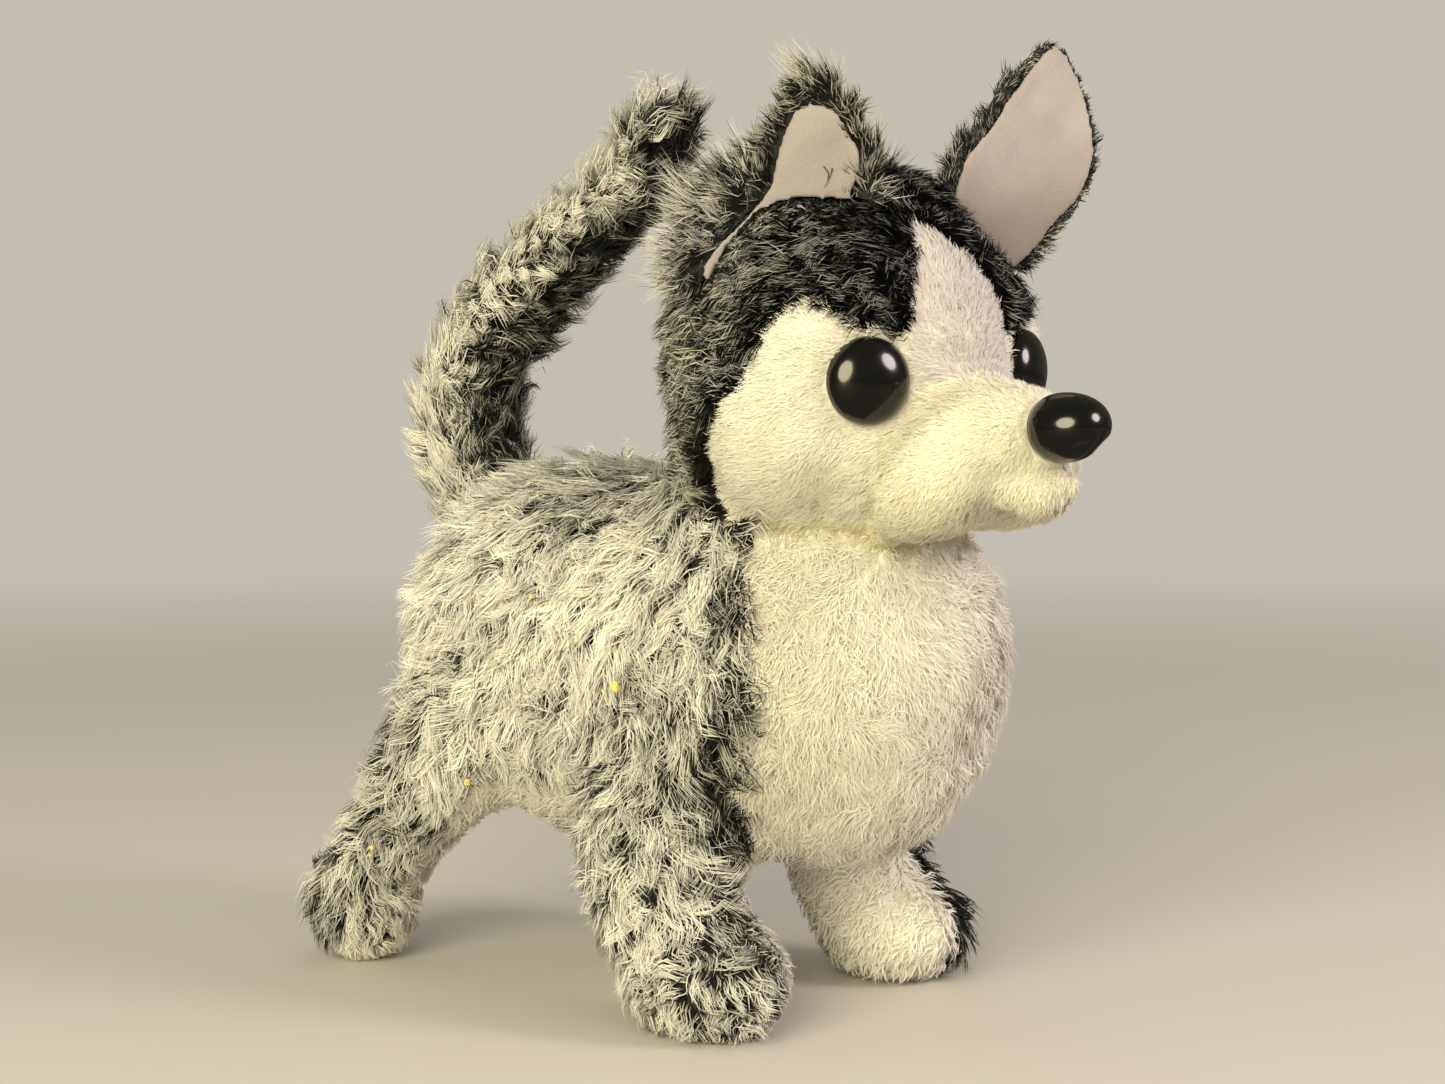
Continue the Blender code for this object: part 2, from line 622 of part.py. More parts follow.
def fastener(name, frame, outline, stretch, washerRadius, panelNames):
    """A button with its stem, pressed through the plush, and the washer that holds it inside."""
    stemEnd = -STEM_LENGTH
    button = lathe(name, outline + [(STEM_RADIUS, 0.0), (STEM_RADIUS, stemEnd), (0.0, stemEnd)], frame, stretch=stretch)
    grown = [(radius + FIT, height + (FIT if height > 0.5 else -FIT)) for radius, height in outline if radius > 0]
    top = max(height for _, height in outline) + FIT
    socket = lathe("socket", [(0.0, top)] + grown + [(STEM_RADIUS + FIT, -FIT), (STEM_RADIUS + FIT, stemEnd - FIT),
                                                    (0.0, stemEnd - FIT)], frame, stretch=stretch)
    for cut in (*panelNames, "stuffing"):
        boolean(parts[cut], socket)
    washerTop = -(SKIN + 1.9)
    hole = STEM_RADIUS * max(stretch) + FIT
    holder = ring(name + "_washer", hole, washerRadius, washerTop - WASHER_THICKNESS, washerTop, frame)
    pocket = lathe("pocket", [(0.0, washerTop + FIT), (washerRadius + FIT, washerTop + FIT),
                              (washerRadius + FIT, washerTop - WASHER_THICKNESS - FIT),
                              (0.0, washerTop - WASHER_THICKNESS - FIT)], frame)
    boolean(parts["stuffing"], pocket)
    for spare in (socket, pocket):
        bpy.data.objects.remove(spare, do_unlink=True)
    return button, holder


eyeRadius = EYE_DIAMETER / 2
eyeOutline = [(0.0, 5.8), (eyeRadius * 0.28, 5.6), (eyeRadius * 0.52, 4.95), (eyeRadius * 0.73, 3.9),
              (eyeRadius * 0.89, 2.4), (eyeRadius * 0.97, 1.0), (eyeRadius, 0.35), (eyeRadius * 0.98, 0.0)]
for side, sign in (("right", -1), ("left", 1)):
    splay = math.radians(EYE_SPLAY)
    direction = Vector((sign * math.sin(splay), -math.cos(splay), -0.02)).normalized()
    start = Vector((sign * EYE_SIDE, 0, -EYE_DROP)) + Vector((0, -28.0, 0))
    spot = surfaceSpot(skinTree, start, direction)
    frame = facingFrame(spot - direction * 1.0, direction)
    parts["eye_" + side], parts["eye_" + side + "_washer"] = fastener("eye_" + side, frame, eyeOutline, (1.0, 1.0), WASHER_RADIUS,
                                                                     ("cheek_" + side,))

noseDirection = Vector((0.0, -1.0, 0.10)).normalized()
noseSpot = surfaceSpot(skinTree, (0.0, -MUZZLE_REACH, MUZZLE_Z + 2.4), noseDirection)
noseFrame = facingFrame(noseSpot - noseDirection * 3.4, noseDirection)
noseRadius = NOSE_WIDTH / 2
noseOutline = [(0.0, NOSE_DEPTH), (noseRadius * 0.36, NOSE_DEPTH * 0.955), (noseRadius * 0.64, NOSE_DEPTH * 0.83),
               (noseRadius * 0.86, NOSE_DEPTH * 0.61), (noseRadius * 0.98, NOSE_DEPTH * 0.34),
               (noseRadius, NOSE_DEPTH * 0.18), (noseRadius * 0.93, 0.0)]
parts["nose"], parts["nose_washer"] = fastener("nose", noseFrame, noseOutline,
                                               (1.0, NOSE_HEIGHT / NOSE_WIDTH), NOSE_WASHER_RADIUS, ("muzzle", "chin"))
skin.free()

cloths = {name: material(name, *look) for name, look in plush.items()}
corners = []
for name, part in parts.items():
    part.name = name
    part.data.name = name
    key = max((k for k in clothOf if name.startswith(k) or (k.endswith("washer") and name.endswith("washer"))), key=len)
    part.data.materials.clear()
    part.data.materials.append(cloths[clothOf[key]])
    for face in part.data.polygons:
        face.use_smooth = True
    corners += [v.co.copy() for v in part.data.vertices]
    part.parent = ROOT
low = [min(c[i] for c in corners) for i in range(3)]
high = [max(c[i] for c in corners) for i in range(3)]
ROOT.location = (-(low[0] + high[0]) / 2, -(low[1] + high[1]) / 2, -low[2])
print("moved to the floor's centre by", [round(v / MM, 3) for v in ROOT.location])
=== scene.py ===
import math
import bmesh
import bpy
import numpy as np
from mathutils import Matrix, Vector
from mathutils.bvhtree import BVHTree
from mathutils.kdtree import KDTree


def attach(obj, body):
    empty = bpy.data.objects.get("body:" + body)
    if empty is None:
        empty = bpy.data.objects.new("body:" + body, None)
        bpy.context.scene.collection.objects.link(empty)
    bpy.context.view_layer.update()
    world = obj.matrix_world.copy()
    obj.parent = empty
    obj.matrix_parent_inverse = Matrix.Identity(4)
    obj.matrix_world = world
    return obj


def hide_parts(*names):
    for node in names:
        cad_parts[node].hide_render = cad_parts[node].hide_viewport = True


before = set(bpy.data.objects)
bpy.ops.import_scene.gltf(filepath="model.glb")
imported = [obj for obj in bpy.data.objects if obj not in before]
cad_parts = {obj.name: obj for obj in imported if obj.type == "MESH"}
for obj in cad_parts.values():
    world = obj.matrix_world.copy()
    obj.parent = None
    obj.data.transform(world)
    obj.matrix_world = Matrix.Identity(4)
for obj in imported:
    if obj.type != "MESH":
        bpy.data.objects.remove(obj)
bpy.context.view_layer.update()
mm = 0.001

# Where the pup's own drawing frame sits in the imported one, the head's turn in it, and the tail's centre line
# as (y, z), all in mm
origin = Vector((-1.285, 17.392, 0.055)) * mm
headCentre = Vector((0.0, -50.5, 141.0)) * mm + origin
headFrame = (Matrix.Translation(headCentre) @ Matrix.Rotation(math.radians(-7.0), 4, "Z")
             @ Matrix.Rotation(math.radians(-3.5), 4, "Y"))
headTurn = np.array(headFrame.to_3x3())
tailLine = [(48.0, 94.0), (61.0, 111.0), (66.0, 131.0), (56.0, 150.0), (33.0, 167.0), (12.0, 180.0),
            (3.0, 194.0)]


def inHead(*place):
    return headFrame @ (Vector(place) * mm)


# Millimetres in the head's own frame, for points of the row frame
def toHead(places):
    return (places - np.array(headCentre)) @ headTurn / mm


def linear(code):
    parts = [int(code[i:i + 2], 16) / 255.0 for i in (1, 3, 5)]
    return (*[p / 12.92 if p <= 0.04045 else ((p + 0.055) / 1.055) ** 2.4 for p in parts], 1.0)


# Adds a shader node with its settings; each input is a value or another node's output
def node(tree, kind, inputs=None, **settings):
    made = tree.nodes.new(kind)
    for key, value in settings.items():
        setattr(made, key, value)
    for key, value in (inputs or {}).items():
        if isinstance(value, bpy.types.NodeSocket):
            tree.links.new(value, made.inputs[key])
        else:
            made.inputs[key].default_value = value
    return made


def newMaterial(name):
    made = bpy.data.materials.new(name)
    made.use_nodes = True
    made.node_tree.nodes.clear()
    return made, made.node_tree


def addObject(name, mesh, body="root"):
    made = bpy.data.objects.new(name, mesh)
    bpy.context.scene.collection.objects.link(made)
    if body:
        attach(made, body)
    return made


def unit(vectors):
    return vectors / np.maximum(np.linalg.norm(vectors, axis=-1, keepdims=True), 1e-12)


def meshArrays(mesh):
    points = np.zeros(len(mesh.vertices) * 3)
    mesh.vertices.foreach_get("co", points)
    mesh.calc_loop_triangles()
    triangles = np.zeros(len(mesh.loop_triangles) * 3, int)
    mesh.loop_triangles.foreach_get("vertices", triangles)
    normals = np.zeros(len(mesh.vertices) * 3)
    mesh.vertices.foreach_get("normal", normals)
    return points.reshape(-1, 3), triangles.reshape(-1, 3), normals.reshape(-1, 3)


def evaluated(obj):
    bpy.context.view_layer.update()
    return bpy.data.meshes.new_from_object(obj.evaluated_get(bpy.context.evaluated_depsgraph_get()))


# The mesh after some modifiers, each given as its kind and settings
def worked(mesh, *steps):
    made = addObject("working", mesh, None)
    for kind, settings in steps:
        step = made.modifiers.new("step", kind)
        for key, value in settings.items():
            setattr(step, key, value)
    result = evaluated(made)
    bpy.data.objects.remove(made)
    return result


def evenly(mesh, voxel, rounds):
    return worked(mesh, ("REMESH", dict(mode="VOXEL", voxel_size=voxel * mm)),
                  ("SMOOTH", dict(factor=0.5, iterations=rounds)))


# Smooth random field, about -1 to 1, that varies over a length given in mm
def wander(places, size, seed, count=5):
    dice = np.random.default_rng(seed)
    total = np.zeros(len(places))
    for _ in range(count):
        direction = unit(dice.normal(size=3)) * dice.uniform(0.6, 1.5) * math.tau / (size * mm)
        total += np.sin(places @ direction + dice.uniform(0, math.tau))
    return total / count * 1.4


def nearTree(places):
    tree = KDTree(len(places))
    for i, place in enumerate(places):
        tree.insert(place, i)
    tree.balance()
    return tree


# Distances in mm from places to the nearest point of a tree
def apart(tree, places):
    return np.array([tree.find(place)[2] for place in places]) / mm


sided = ["side_panel", "underbody", "head_back", "crown", "cheek"]
panels = [f"{kind}_{side}" for kind in sided for side in ("right", "left")]
panels += ["chest_bib", "tail_skin", "blaze", "muzzle", "chin"]
kindOf = [name.replace("_right", "").replace("_left", "") for name in panels]

# The stuffed skin under the pile: one closed form over all panels, puffed by its filling, then drawn in at
# the seams. Lengths are in mm
formLook = dict(voxel=3.8, pressure=4.0, start=0.5, travel=1.2, frames=20)
seamLook = dict(width=2.8, depth=0.5, depths={("cheek", "muzzle"): 1.7, ("blaze", "muzzle"): 0.7,
                                              ("chin", "muzzle"): 1.3, ("cheek", "chest_bib"): 1.2,
                                              ("chest_bib", "muzzle"): 1.2, ("chest_bib", "chin"): 1.2})
pillows = {"muzzle": 2.0, "cheek": 0.8, "chin": 1.2}
print("stage: stuffed skin")
bm = bmesh.new()
for name in [*panels, "stuffing"]:
    bm.from_mesh(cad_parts[name].data)
formMesh = bpy.data.meshes.new("form")
bm.to_mesh(formMesh)
bm.free()
formMesh = evenly(formMesh, formLook["voxel"], 3)

# The remeshed filling leaves hollows inside: the biggest connected surface is the outer one
bm = bmesh.new()
bm.from_mesh(formMesh)
seen, best = set(), []
for start in bm.verts:
    if start in seen:
        continue
    group = [start]
    seen.add(start)
    for vertex in group:
        for edge in vertex.link_edges:
            other = edge.other_vert(vertex)
            if other not in seen:
                seen.add(other)
                group.append(other)
    best = max(best, group, key=len)
keep = set(best)
bmesh.ops.delete(bm, geom=[v for v in bm.verts if v not in keep], context="VERTS")
bm.to_mesh(formMesh)
bm.free()

restPoints, _, restNormals = meshArrays(formMesh)
formMesh.vertices.foreach_set("co", (restPoints - restNormals * formLook["start"] * mm).ravel())
form = addObject("form", formMesh, None)
cloth = form.modifiers.new("filling", "CLOTH")
cloth.settings.use_pressure = True
cloth.settings.uniform_pressure_force = formLook["pressure"]
cloth.settings.effector_weights.gravity = 0.0
cloth.settings.quality = 5
for step in range(1, formLook["frames"] + 1):
    bpy.context.scene.frame_set(step)
puffed = evaluated(form)
bpy.data.objects.remove(form)
bpy.context.scene.frame_set(1)
moved = meshArrays(puffed)[0] - restPoints
far = np.linalg.norm(moved, axis=1, keepdims=True)
moved *= np.minimum(1.0, formLook["travel"] * mm / np.maximum(far, 1e-9))
low = np.clip((restPoints[:, 2:] / mm - 3.0) / 6.0, 0.0, 1.0)  # the soles stay flat on the table
formMesh.vertices.foreach_set("co", (restPoints + moved * low).ravel())
formMesh = worked(formMesh, ("SUBSURF", dict(levels=1)))
bm = bmesh.new()
bm.from_mesh(formMesh)
bmesh.ops.triangulate(bm, faces=bm.faces[:])
bm.to_mesh(formMesh)
bm.free()
points, triangles, normals = meshArrays(formMesh)

# Which panel each triangle of the form belongs to: the nearest CAD panel
corners, faces, owner = [], [], []
for index, name in enumerate(panels):
    nodePoints, nodeFaces, _ = meshArrays(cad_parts[name].data)
    faces += [tuple(int(k) + len(corners) for k in face) for face in nodeFaces]
    corners += [tuple(c) for c in nodePoints]
    owner += [index] * len(nodeFaces)
cadTree = BVHTree.FromPolygons(corners, faces)
belongs = np.array([owner[cadTree.find_nearest(Vector(c))[2]] for c in points[triangles].mean(axis=1)])

# Points of the form on the seams, by the pair of kinds they part
touches = [set() for _ in points]
for corner in range(3):
    for vertex, index in zip(triangles[:, corner], belongs):
        touches[vertex].add(index)
seamVertices = {}
for vertex, indices in enumerate(touches):
    for first in indices:
        for second in indices:
            if first < second:
                seamVertices.setdefault(tuple(sorted((kindOf[first], kindOf[second]))), []).append(vertex)
seamTrees = {pair: nearTree(points[vertices]) for pair, vertices in seamVertices.items()}
sunk = np.zeros(len(points))
for pair, tree in seamTrees.items():
    depth = seamLook["depths"].get(pair, seamLook["depth"])
    sunk = np.maximum(sunk, depth * np.exp(-(apart(tree, points) / seamLook["width"]) ** 2))
# The face panels are puffed between their seams, less by the eyes and nose
hard = [meshArrays(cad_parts[name].data)[0] for name in ("eye_right", "eye_left", "nose")]
clear = np.clip((apart(nearTree(np.concatenate(hard)), points) - 1.5) / 7.0, 0.0, 1.0)
for kind, rise in pillows.items():
    own = np.array([any(kindOf[index] == kind for index in indices) for indices in touches])
    edge = nearTree(points[[v for pair, found in seamVertices.items() if kind in pair for v in found]])
    sunk -= own * rise * clear * (1.0 - np.exp(-(apart(edge, points) / 5.0) ** 2))
sunk *= np.clip((points[:, 2] / mm - 2.0) / 5.0, 0.0, 1.0)
points = points - normals * sunk[:, None] * mm
formMesh.vertices.foreach_set("co", points.ravel())
formMesh.update()
points, triangles, normals = meshArrays(formMesh)
print("skin triangles", len(triangles))


# Plush pile: crimped acrylic fibres, dyed at the root and bleached at the tip. A dull, slightly see-through
# fibre, so locks glow at their edges and are dark between
def pileMaterial(name, look):
    made, tree = newMaterial(name)
    pile = node(tree, "ShaderNodeAttribute", attribute_name="pile", attribute_type="GEOMETRY")
    parts = node(tree, "ShaderNodeSeparateColor", {"Color": pile.outputs["Color"]})
    along, strand, shade = parts.outputs[0], parts.outputs[1], parts.outputs[2]
    place = along
    # A low shade shows more root and pulls the colour to the shade colour: painted shade, stains and tone
    for chance, share in ((strand, "spread"), (shade, "patch"), (pile.outputs["Alpha"], "lockSpread")):
        part = node(tree, "ShaderNodeMath", {0: chance, 1: 0.5}, operation="SUBTRACT")
        part = node(tree, "ShaderNodeMath", {0: part.outputs[0], 1: look[share]}, operation="MULTIPLY")
        place = node(tree, "ShaderNodeMath", {0: place, 1: part.outputs[0]}, operation="ADD").outputs[0]
    tip = node(tree, "ShaderNodeMapRange", {"Value": place, "From Min": look["frost"] - 0.2,
                                            "From Max": look["frost"] + 0.2}, interpolation_type="SMOOTHSTEP")
    dyed = node(tree, "ShaderNodeMix", {0: tip.outputs[0], 6: linear(look["root"]), 7: linear(look["tip"])},
                data_type="RGBA")
    deep = node(tree, "ShaderNodeMath", {0: 1.0, 1: shade}, operation="SUBTRACT")
    shaded = node(tree, "ShaderNodeMix", {0: deep.outputs[0], 6: dyed.outputs[2],
                                          7: linear(look["shadeColour"])},
                  data_type="RGBA", blend_type="MULTIPLY")
    colour = shaded.outputs[2]
    fibre = node(tree, "ShaderNodeBsdfPrincipled", {"Base Color": colour, "Roughness": 0.7, "IOR": 1.46,
                                                    "Specular IOR Level": look["gloss"],
                                                    "Sheen Weight": look["sheen"], "Sheen Roughness": 0.5})
    through = node(tree, "ShaderNodeBsdfTranslucent", {"Color": colour})
    both = node(tree, "ShaderNodeMixShader", {0: look["through"], 1: fibre.outputs[0], 2: through.outputs[0]})
    node(tree, "ShaderNodeOutputMaterial", {"Surface": both.outputs[0]})
    return made


# Knitted polyester backing under the pile: fine loops of about 0.45 mm, only glimpsed between the locks,
# with a tone that varies over about 8 mm
def backingMaterial(name, colour, loops=2200.0):
    made, tree = newMaterial(name)
    place = node(tree, "ShaderNodeTexCoord").outputs["Object"]
    knit = node(tree, "ShaderNodeTexVoronoi", {"Vector": place, "Scale": loops})
    tone = node(tree, "ShaderNodeTexNoise", {"Vector": place, "Scale": 120.0, "Detail": 3.0})
    uneven = node(tree, "ShaderNodeMath", {0: tone.outputs[0], 1: 0.35}, operation="MULTIPLY")
    shade = node(tree, "ShaderNodeMix", {0: uneven.outputs[0], 6: linear(colour), 7: linear("#BCBCBC")},
                 data_type="RGBA", blend_type="MULTIPLY")
    bump = node(tree, "ShaderNodeBump", {"Height": knit.outputs[0], "Strength": 0.5, "Distance": 0.2 * mm})
    knitted = node(tree, "ShaderNodeBsdfPrincipled", {"Base Color": shade.outputs[2], "Roughness": 0.92,
                                                      "Sheen Weight": 0.2, "Normal": bump.outputs[0]})
    node(tree, "ShaderNodeOutputMaterial", {"Surface": knitted.outputs[0]})
    return made


def turned(direction, normal, angle):
    side = np.cross(normal, direction)
    return direction * np.cos(angle)[:, None] + side * np.sin(angle)[:, None]


# Grows mesh pile on some triangles of a surface: tapering ribbons, each wider than a real fibre so that it
# shows, drawn together into locks towards their tips. A pile gives length, width, lock and swirl in mm,
# density in fibres per square mm, turns in radians
def grow(name, source, mask, flow, look, material, seed, shadeAt=None, lengthAt=None, keepOut=()):
    dice = np.random.default_rng(seed)
    p, t, n = source
    t = t[mask]
    a, b, c = p[t[:, 0]], p[t[:, 1]], p[t[:, 2]]
    area = np.linalg.norm(np.cross(b - a, c - a), axis=1) / 2
    count = int(area.sum() / mm ** 2 * look["density"])
    picked = dice.choice(len(t), count, p=area / area.sum())
    u, v = dice.random(count), dice.random(count)
    over = u + v > 1
    u[over], v[over] = 1 - u[over], 1 - v[over]
    w = 1 - u - v
    root = a[picked] * w[:, None] + b[picked] * u[:, None] + c[picked] * v[:, None]
    up = unit(n[t[picked, 0]] * w[:, None] + n[t[picked, 1]] * u[:, None] + n[t[picked, 2]] * v[:, None])
    for centre, radius in keepOut:
        clear = np.linalg.norm(root - centre, axis=1) > radius
        root, up = root[clear], up[clear]
    count = len(root)
    lockCount = min(count, max(8, int(area.sum() / mm ** 2 / look["lock"] ** 2)))
    lockRoot = dice.choice(count, lockCount, replace=False)
    tree = nearTree(root[lockRoot])
    jitter = dice.normal(size=(count, 3)) * look["lock"] * 0.2 * mm
    lock = np.array([tree.find(place)[1] for place in root + jitter])
    centre, centreUp = root[lockRoot], up[lockRoot]
    segments = look["segments"]

    # Places along a fibre, from its root, for each level
    def combed(places, normal, turn, lift, length, phase):
        direction = flow(places)
        direction = unit(direction - normal * (direction * normal).sum(axis=1)[:, None])
        direction = turned(direction, normal, turn)
        side = np.cross(normal, direction)
        levels = []
        for k in range(segments + 1):
            s = k / segments
            rise = lift * s * (1.0 - look["droop"] * s)
            ahead = np.sqrt(np.maximum(0.05, 1 - lift ** 2)) * s + 0.35 * look["droop"] * s * s
            sway = (np.sin(phase + s * look["waves"] * math.tau) - np.sin(phase)) * look["wave"] * s
            step = normal * rise[:, None] + direction * ahead[:, None] + side * sway[:, None]
            levels.append(step * length[:, None])
        return levels

    lockTurn = wander(centre, look["swirl"], seed + 7) * look["turn"]
    lockTurn += dice.normal(size=lockCount) * look["mess"]
    lockLift = np.clip(look["lift"] + dice.normal(size=lockCount) * 0.18, 0.15, 0.98)
    lockLength = look["length"] * mm * dice.uniform(0.6, 1.2, lockCount)
    if lengthAt is not None:
        lockLength *= lengthAt(centre)
    lockPhase = dice.uniform(0, math.tau, lockCount)
    guides = combed(centre, centreUp, lockTurn, lockLift, lockLength, lockPhase)
    ownTurn = lockTurn[lock] + dice.normal(size=count) * look["loose"]
    ownLift = np.clip(lockLift[lock] + dice.normal(size=count) * 0.16, 0.1, 0.98)
    ownPhase = lockPhase[lock] + dice.normal(size=count) * 0.5
    own = combed(root, up, ownTurn, ownLift, lockLength[lock], ownPhase)
    reach = dice.uniform(0.6, 1.0, count)[:, None]
    pull = np.clip(look["pull"] + dice.normal(size=count) * 0.18, 0, 0.95)[:, None]
    offset = root - centre[lock]
    levels = []
    for k in range(segments + 1):
        s = k / segments
        together = centre[lock] + offset * (1 - 0.92 * s ** 1.1) + guides[k][lock] * reach
        blend = pull * min(1.0, s * 1.6)
        levels.append((root + own[k] * reach) * (1 - blend) + together * blend)
    levels[0] = root - up * 0.3 * mm
    tilt = dice.uniform(-0.7, 0.7, count)
    half = look["width"] * mm / 2 * dice.uniform(0.7, 1.25, count)
    per = segments * 2 + 1
    vertices = np.zeros((count, per, 3))
    for k in range(segments):
        forward = unit(levels[k + 1] - levels[max(k - 1, 0)])
        across = unit(np.cross(forward, up))
        lifted = np.cross(across, forward)
        across = (across * np.cos(tilt)[:, None] + lifted * np.sin(tilt)[:, None])
        across *= (half * (1.0 - 0.5 * (k / segments) ** 1.3))[:, None]
        vertices[:, k * 2], vertices[:, k * 2 + 1] = levels[k] - across, levels[k] + across
    vertices[:, -1] = levels[-1]
    vertices[:, :, 2] = np.maximum(vertices[:, :, 2], 0.15 * mm)  # nothing goes through the table
    cells = [[2 * k, 2 * k + 1, 2 * k + 3, 2 * k + 2] for k in range(segments - 1)]
    cells.append([per - 3, per - 2, per - 1])
    sizes = np.tile([len(cell) for cell in cells], count)
    loops = (np.arange(count)[:, None] * per + np.concatenate(cells)).ravel()
    mesh = bpy.data.meshes.new(name)
    mesh.vertices.add(count * per)
    mesh.vertices.foreach_set("co", vertices.ravel())
    mesh.loops.add(len(loops))
    mesh.loops.foreach_set("vertex_index", loops)
    mesh.polygons.add(len(sizes))
    mesh.polygons.foreach_set("loop_start", np.concatenate([[0], np.cumsum(sizes)[:-1]]))
    mesh.polygons.foreach_set("use_smooth", np.ones(len(sizes), bool))
    mesh.update(calc_edges=True)
    # How far along the fibre, the fibre's chance, the place's painted shade and tone, the lock's chance
    values = np.zeros((count, per, 4), np.float32)
    values[:, :, 0] = [k / segments for k in range(segments) for _ in range(2)] + [1.0]
    values[:, :, 1] = dice.random(count)[:, None]
    shade = shadeAt(root) if shadeAt is not None else np.ones(count)
    values[:, :, 2] = np.clip(shade, 0, 1)[:, None]
    values[:, :, 3] = dice.random(lockCount)[lock][:, None]
    mesh.attributes.new("pile", "FLOAT_COLOR", "POINT").data.foreach_set("color", values.ravel())
    # Fibres take the skin's normal, leaning away from the lock's middle, so each lock is lit as one soft body
    lean = unit(up + offset / (look["lock"] * mm) * look["relief"])
    soft = np.repeat(lean[:, None, :], per, axis=1)
    for k in range(1, segments + 1):
        forward = unit(levels[k] - levels[k - 1])
        bent = unit(lean - forward * (lean * forward).sum(axis=1)[:, None] * look["bend"])
        for m in ([2 * k, 2 * k + 1] if k < segments else [2 * segments]):
            soft[:, m] = bent
    mesh.normals_split_custom_set_from_vertices(soft.reshape(-1, 3))
    # Each fibre has its own cell of the sheet, root to tip
    side = math.ceil(math.sqrt(count))
    cell = np.stack([np.arange(count) % side, np.arange(count) // side], axis=1)[:, None, :] / side
    spot = [(x, 0.1 + 0.8 * k / segments) for k in range(segments) for x in (0.15, 0.85)] + [(0.5, 0.9)]
    sheet = (cell + np.array(spot)[None] / side).reshape(-1, 2)[loops]
    mesh.uv_layers.new(name="OFBake").data.foreach_set("uv", sheet.astype(np.float32).ravel())
    mesh.materials.append(material)
    print("pile", name, count, "fibres", int((sizes - 2).sum()), "triangles")
    return addObject(name, mesh)


# The cloth of one panel under its pile
def skinPiece(name, index, material):
    used, local = np.unique(triangles[belongs == index], return_inverse=True)
    mesh = bpy.data.meshes.new(name)
    mesh.from_pydata((points[used] - normals[used] * 0.2 * mm).tolist(), [], local.reshape(-1, 3).tolist())
    mesh.polygons.foreach_set("use_smooth", np.ones(len(mesh.polygons), bool))
    mesh.materials.append(material)
    return addObject(name, mesh)


# The ways the naps lie
noseTip = np.array(inHead(0.0, -62.0, -16.0))
steps = np.linspace(0, len(tailLine) - 1, 80)
along, high = [np.interp(steps, range(len(tailLine)), [spot[k] for spot in tailLine]) for k in (0, 1)]
tailCurve = np.stack([np.zeros(80), along, high], axis=1) * mm + np.array(origin)
tailHeading = unit(np.gradient(tailCurve, axis=0))
tailInner = np.stack([np.zeros(80), -tailHeading[:, 2], tailHeading[:, 1]], axis=1)
tailTree = nearTree(tailCurve)


def bodyFlow(places):
    y, z = places[:, 1] / mm, places[:, 2] / mm
    back = np.interp(y, [-45.0, -15.0, 15.0, 45.0, 80.0], [-0.7, -0.45, 0.1, 0.5, 1.1])
    back *= np.interp(z, [30.0, 60.0], [0.45, 1.0])
    return np.stack([np.sign(places[:, 0]) * 0.15, back, -np.ones(len(places))], axis=1)


def tailFlow(places):
    near = [tailTree.find(place)[1] for place in places]
    return tailHeading[near] * 0.75 + tailInner[near] * 0.45


def faceFlow(places):
    return places - noseTip + np.array([0.0, 0.0, -0.010])


def headBackFlow(places):
    here = toHead(places)
    way = [np.sign(here[:, 0]) * 0.3, np.full(len(here), 0.8), -0.6 - here[:, 2] / 60.0]
    return np.stack(way, axis=1) @ headTurn.T


def crownFlow(places):
    here = toHead(places)
    side = np.clip(here[:, 0] / 6.0, -1.0, 1.0)
    return np.stack([side, np.full(len(here), 0.45), np.full(len(here), -0.15)], axis=1) @ headTurn.T


def bibFlow(places):
    return np.stack([places[:, 0] * 9, np.full(len(places), 0.05), -np.ones(len(places))], axis=1)


def bellyFlow(places):
    low = np.clip((38.0 - places[:, 2] / mm) / 12.0, 0, 1)
    return np.stack([np.zeros(len(places)), 1 - 0.7 * low, -low], axis=1)


def bodyShade(places):
    y, z = places[:, 1] / mm, places[:, 2] / mm
    matted = wander(places, 34.0, 11) * 0.28 + wander(places, 9.0, 12) * 0.30
    legs = np.interp(z, [22.0, 52.0], [0.12, 0.0]) + np.interp(z, [20.0, 40.0], [0.22, 0.0]) * (y > 20.0)
    # Painted shade in a band along the seam with the bib
    bib = np.exp(-(apart(seamTrees[("chest_bib", "side_panel")], places) / 6.5) ** 2)
    flank = 0.16 * np.clip((85.0 - z) / 25.0, 0.0, 1.0)
    farLeg = 0.45 * ((places[:, 0] > 0.0) & (y < 0.0)) * np.clip((75.0 - z) / 20.0, 0.0, 1.0)
    return 0.86 + matted - legs - flank - farLeg - 0.8 * bib


def bodyLength(places):
    z = places[:, 2] / mm
    belly = apart(seamTrees[("side_panel", "underbody")], places)
    short = np.where(places[:, 1] > 0.02, 0.95, 0.62)  # the hind paw is shaggy, the front paw trimmed
    short = np.where((places[:, 0] > 0.0) & (places[:, 1] < 0.0), 1.0, short)
    leg = short + (1.0 - short) * np.clip((z - 14.0) / 31.0, 0.0, 1.0)
    return leg * np.interp(belly, [0.0, 9.0], [0.45, 1.0])


# Short by the near ear's lining, so it shows
def headLength(places):
    return np.interp(apart(liningTrees[0], places), [1.0, 9.0], [0.22, 1.0])


def bibLength(places):
    low = np.interp(apart(seamTrees[("chest_bib", "underbody")], places), [0.0, 12.0], [0.5, 1.0])
    return low * np.interp(apart(underFace, places), [0.0, 7.0], [0.35, 1.0])


def tailShade(places):
    near = [tailTree.find(place)[1] for place in places]
    inner = (unit(places - tailCurve[near]) * tailInner[near]).sum(axis=1)
    tip = np.interp(np.array(near), [64, 79], [0.0, 0.15])
    return np.interp(inner, [0.0, 0.8], [0.95, -0.1]) - tip + wander(places, 8.0, 13) * 0.3


def headBackShade(places):
    # Painted shade along the seam with the cheek
    cheek = np.exp(-(apart(seamTrees[("cheek", "head_back")], places) / 3.2) ** 2)
    return 0.46 + wander(places, 9.0, 14) * 0.34 - 0.6 * cheek


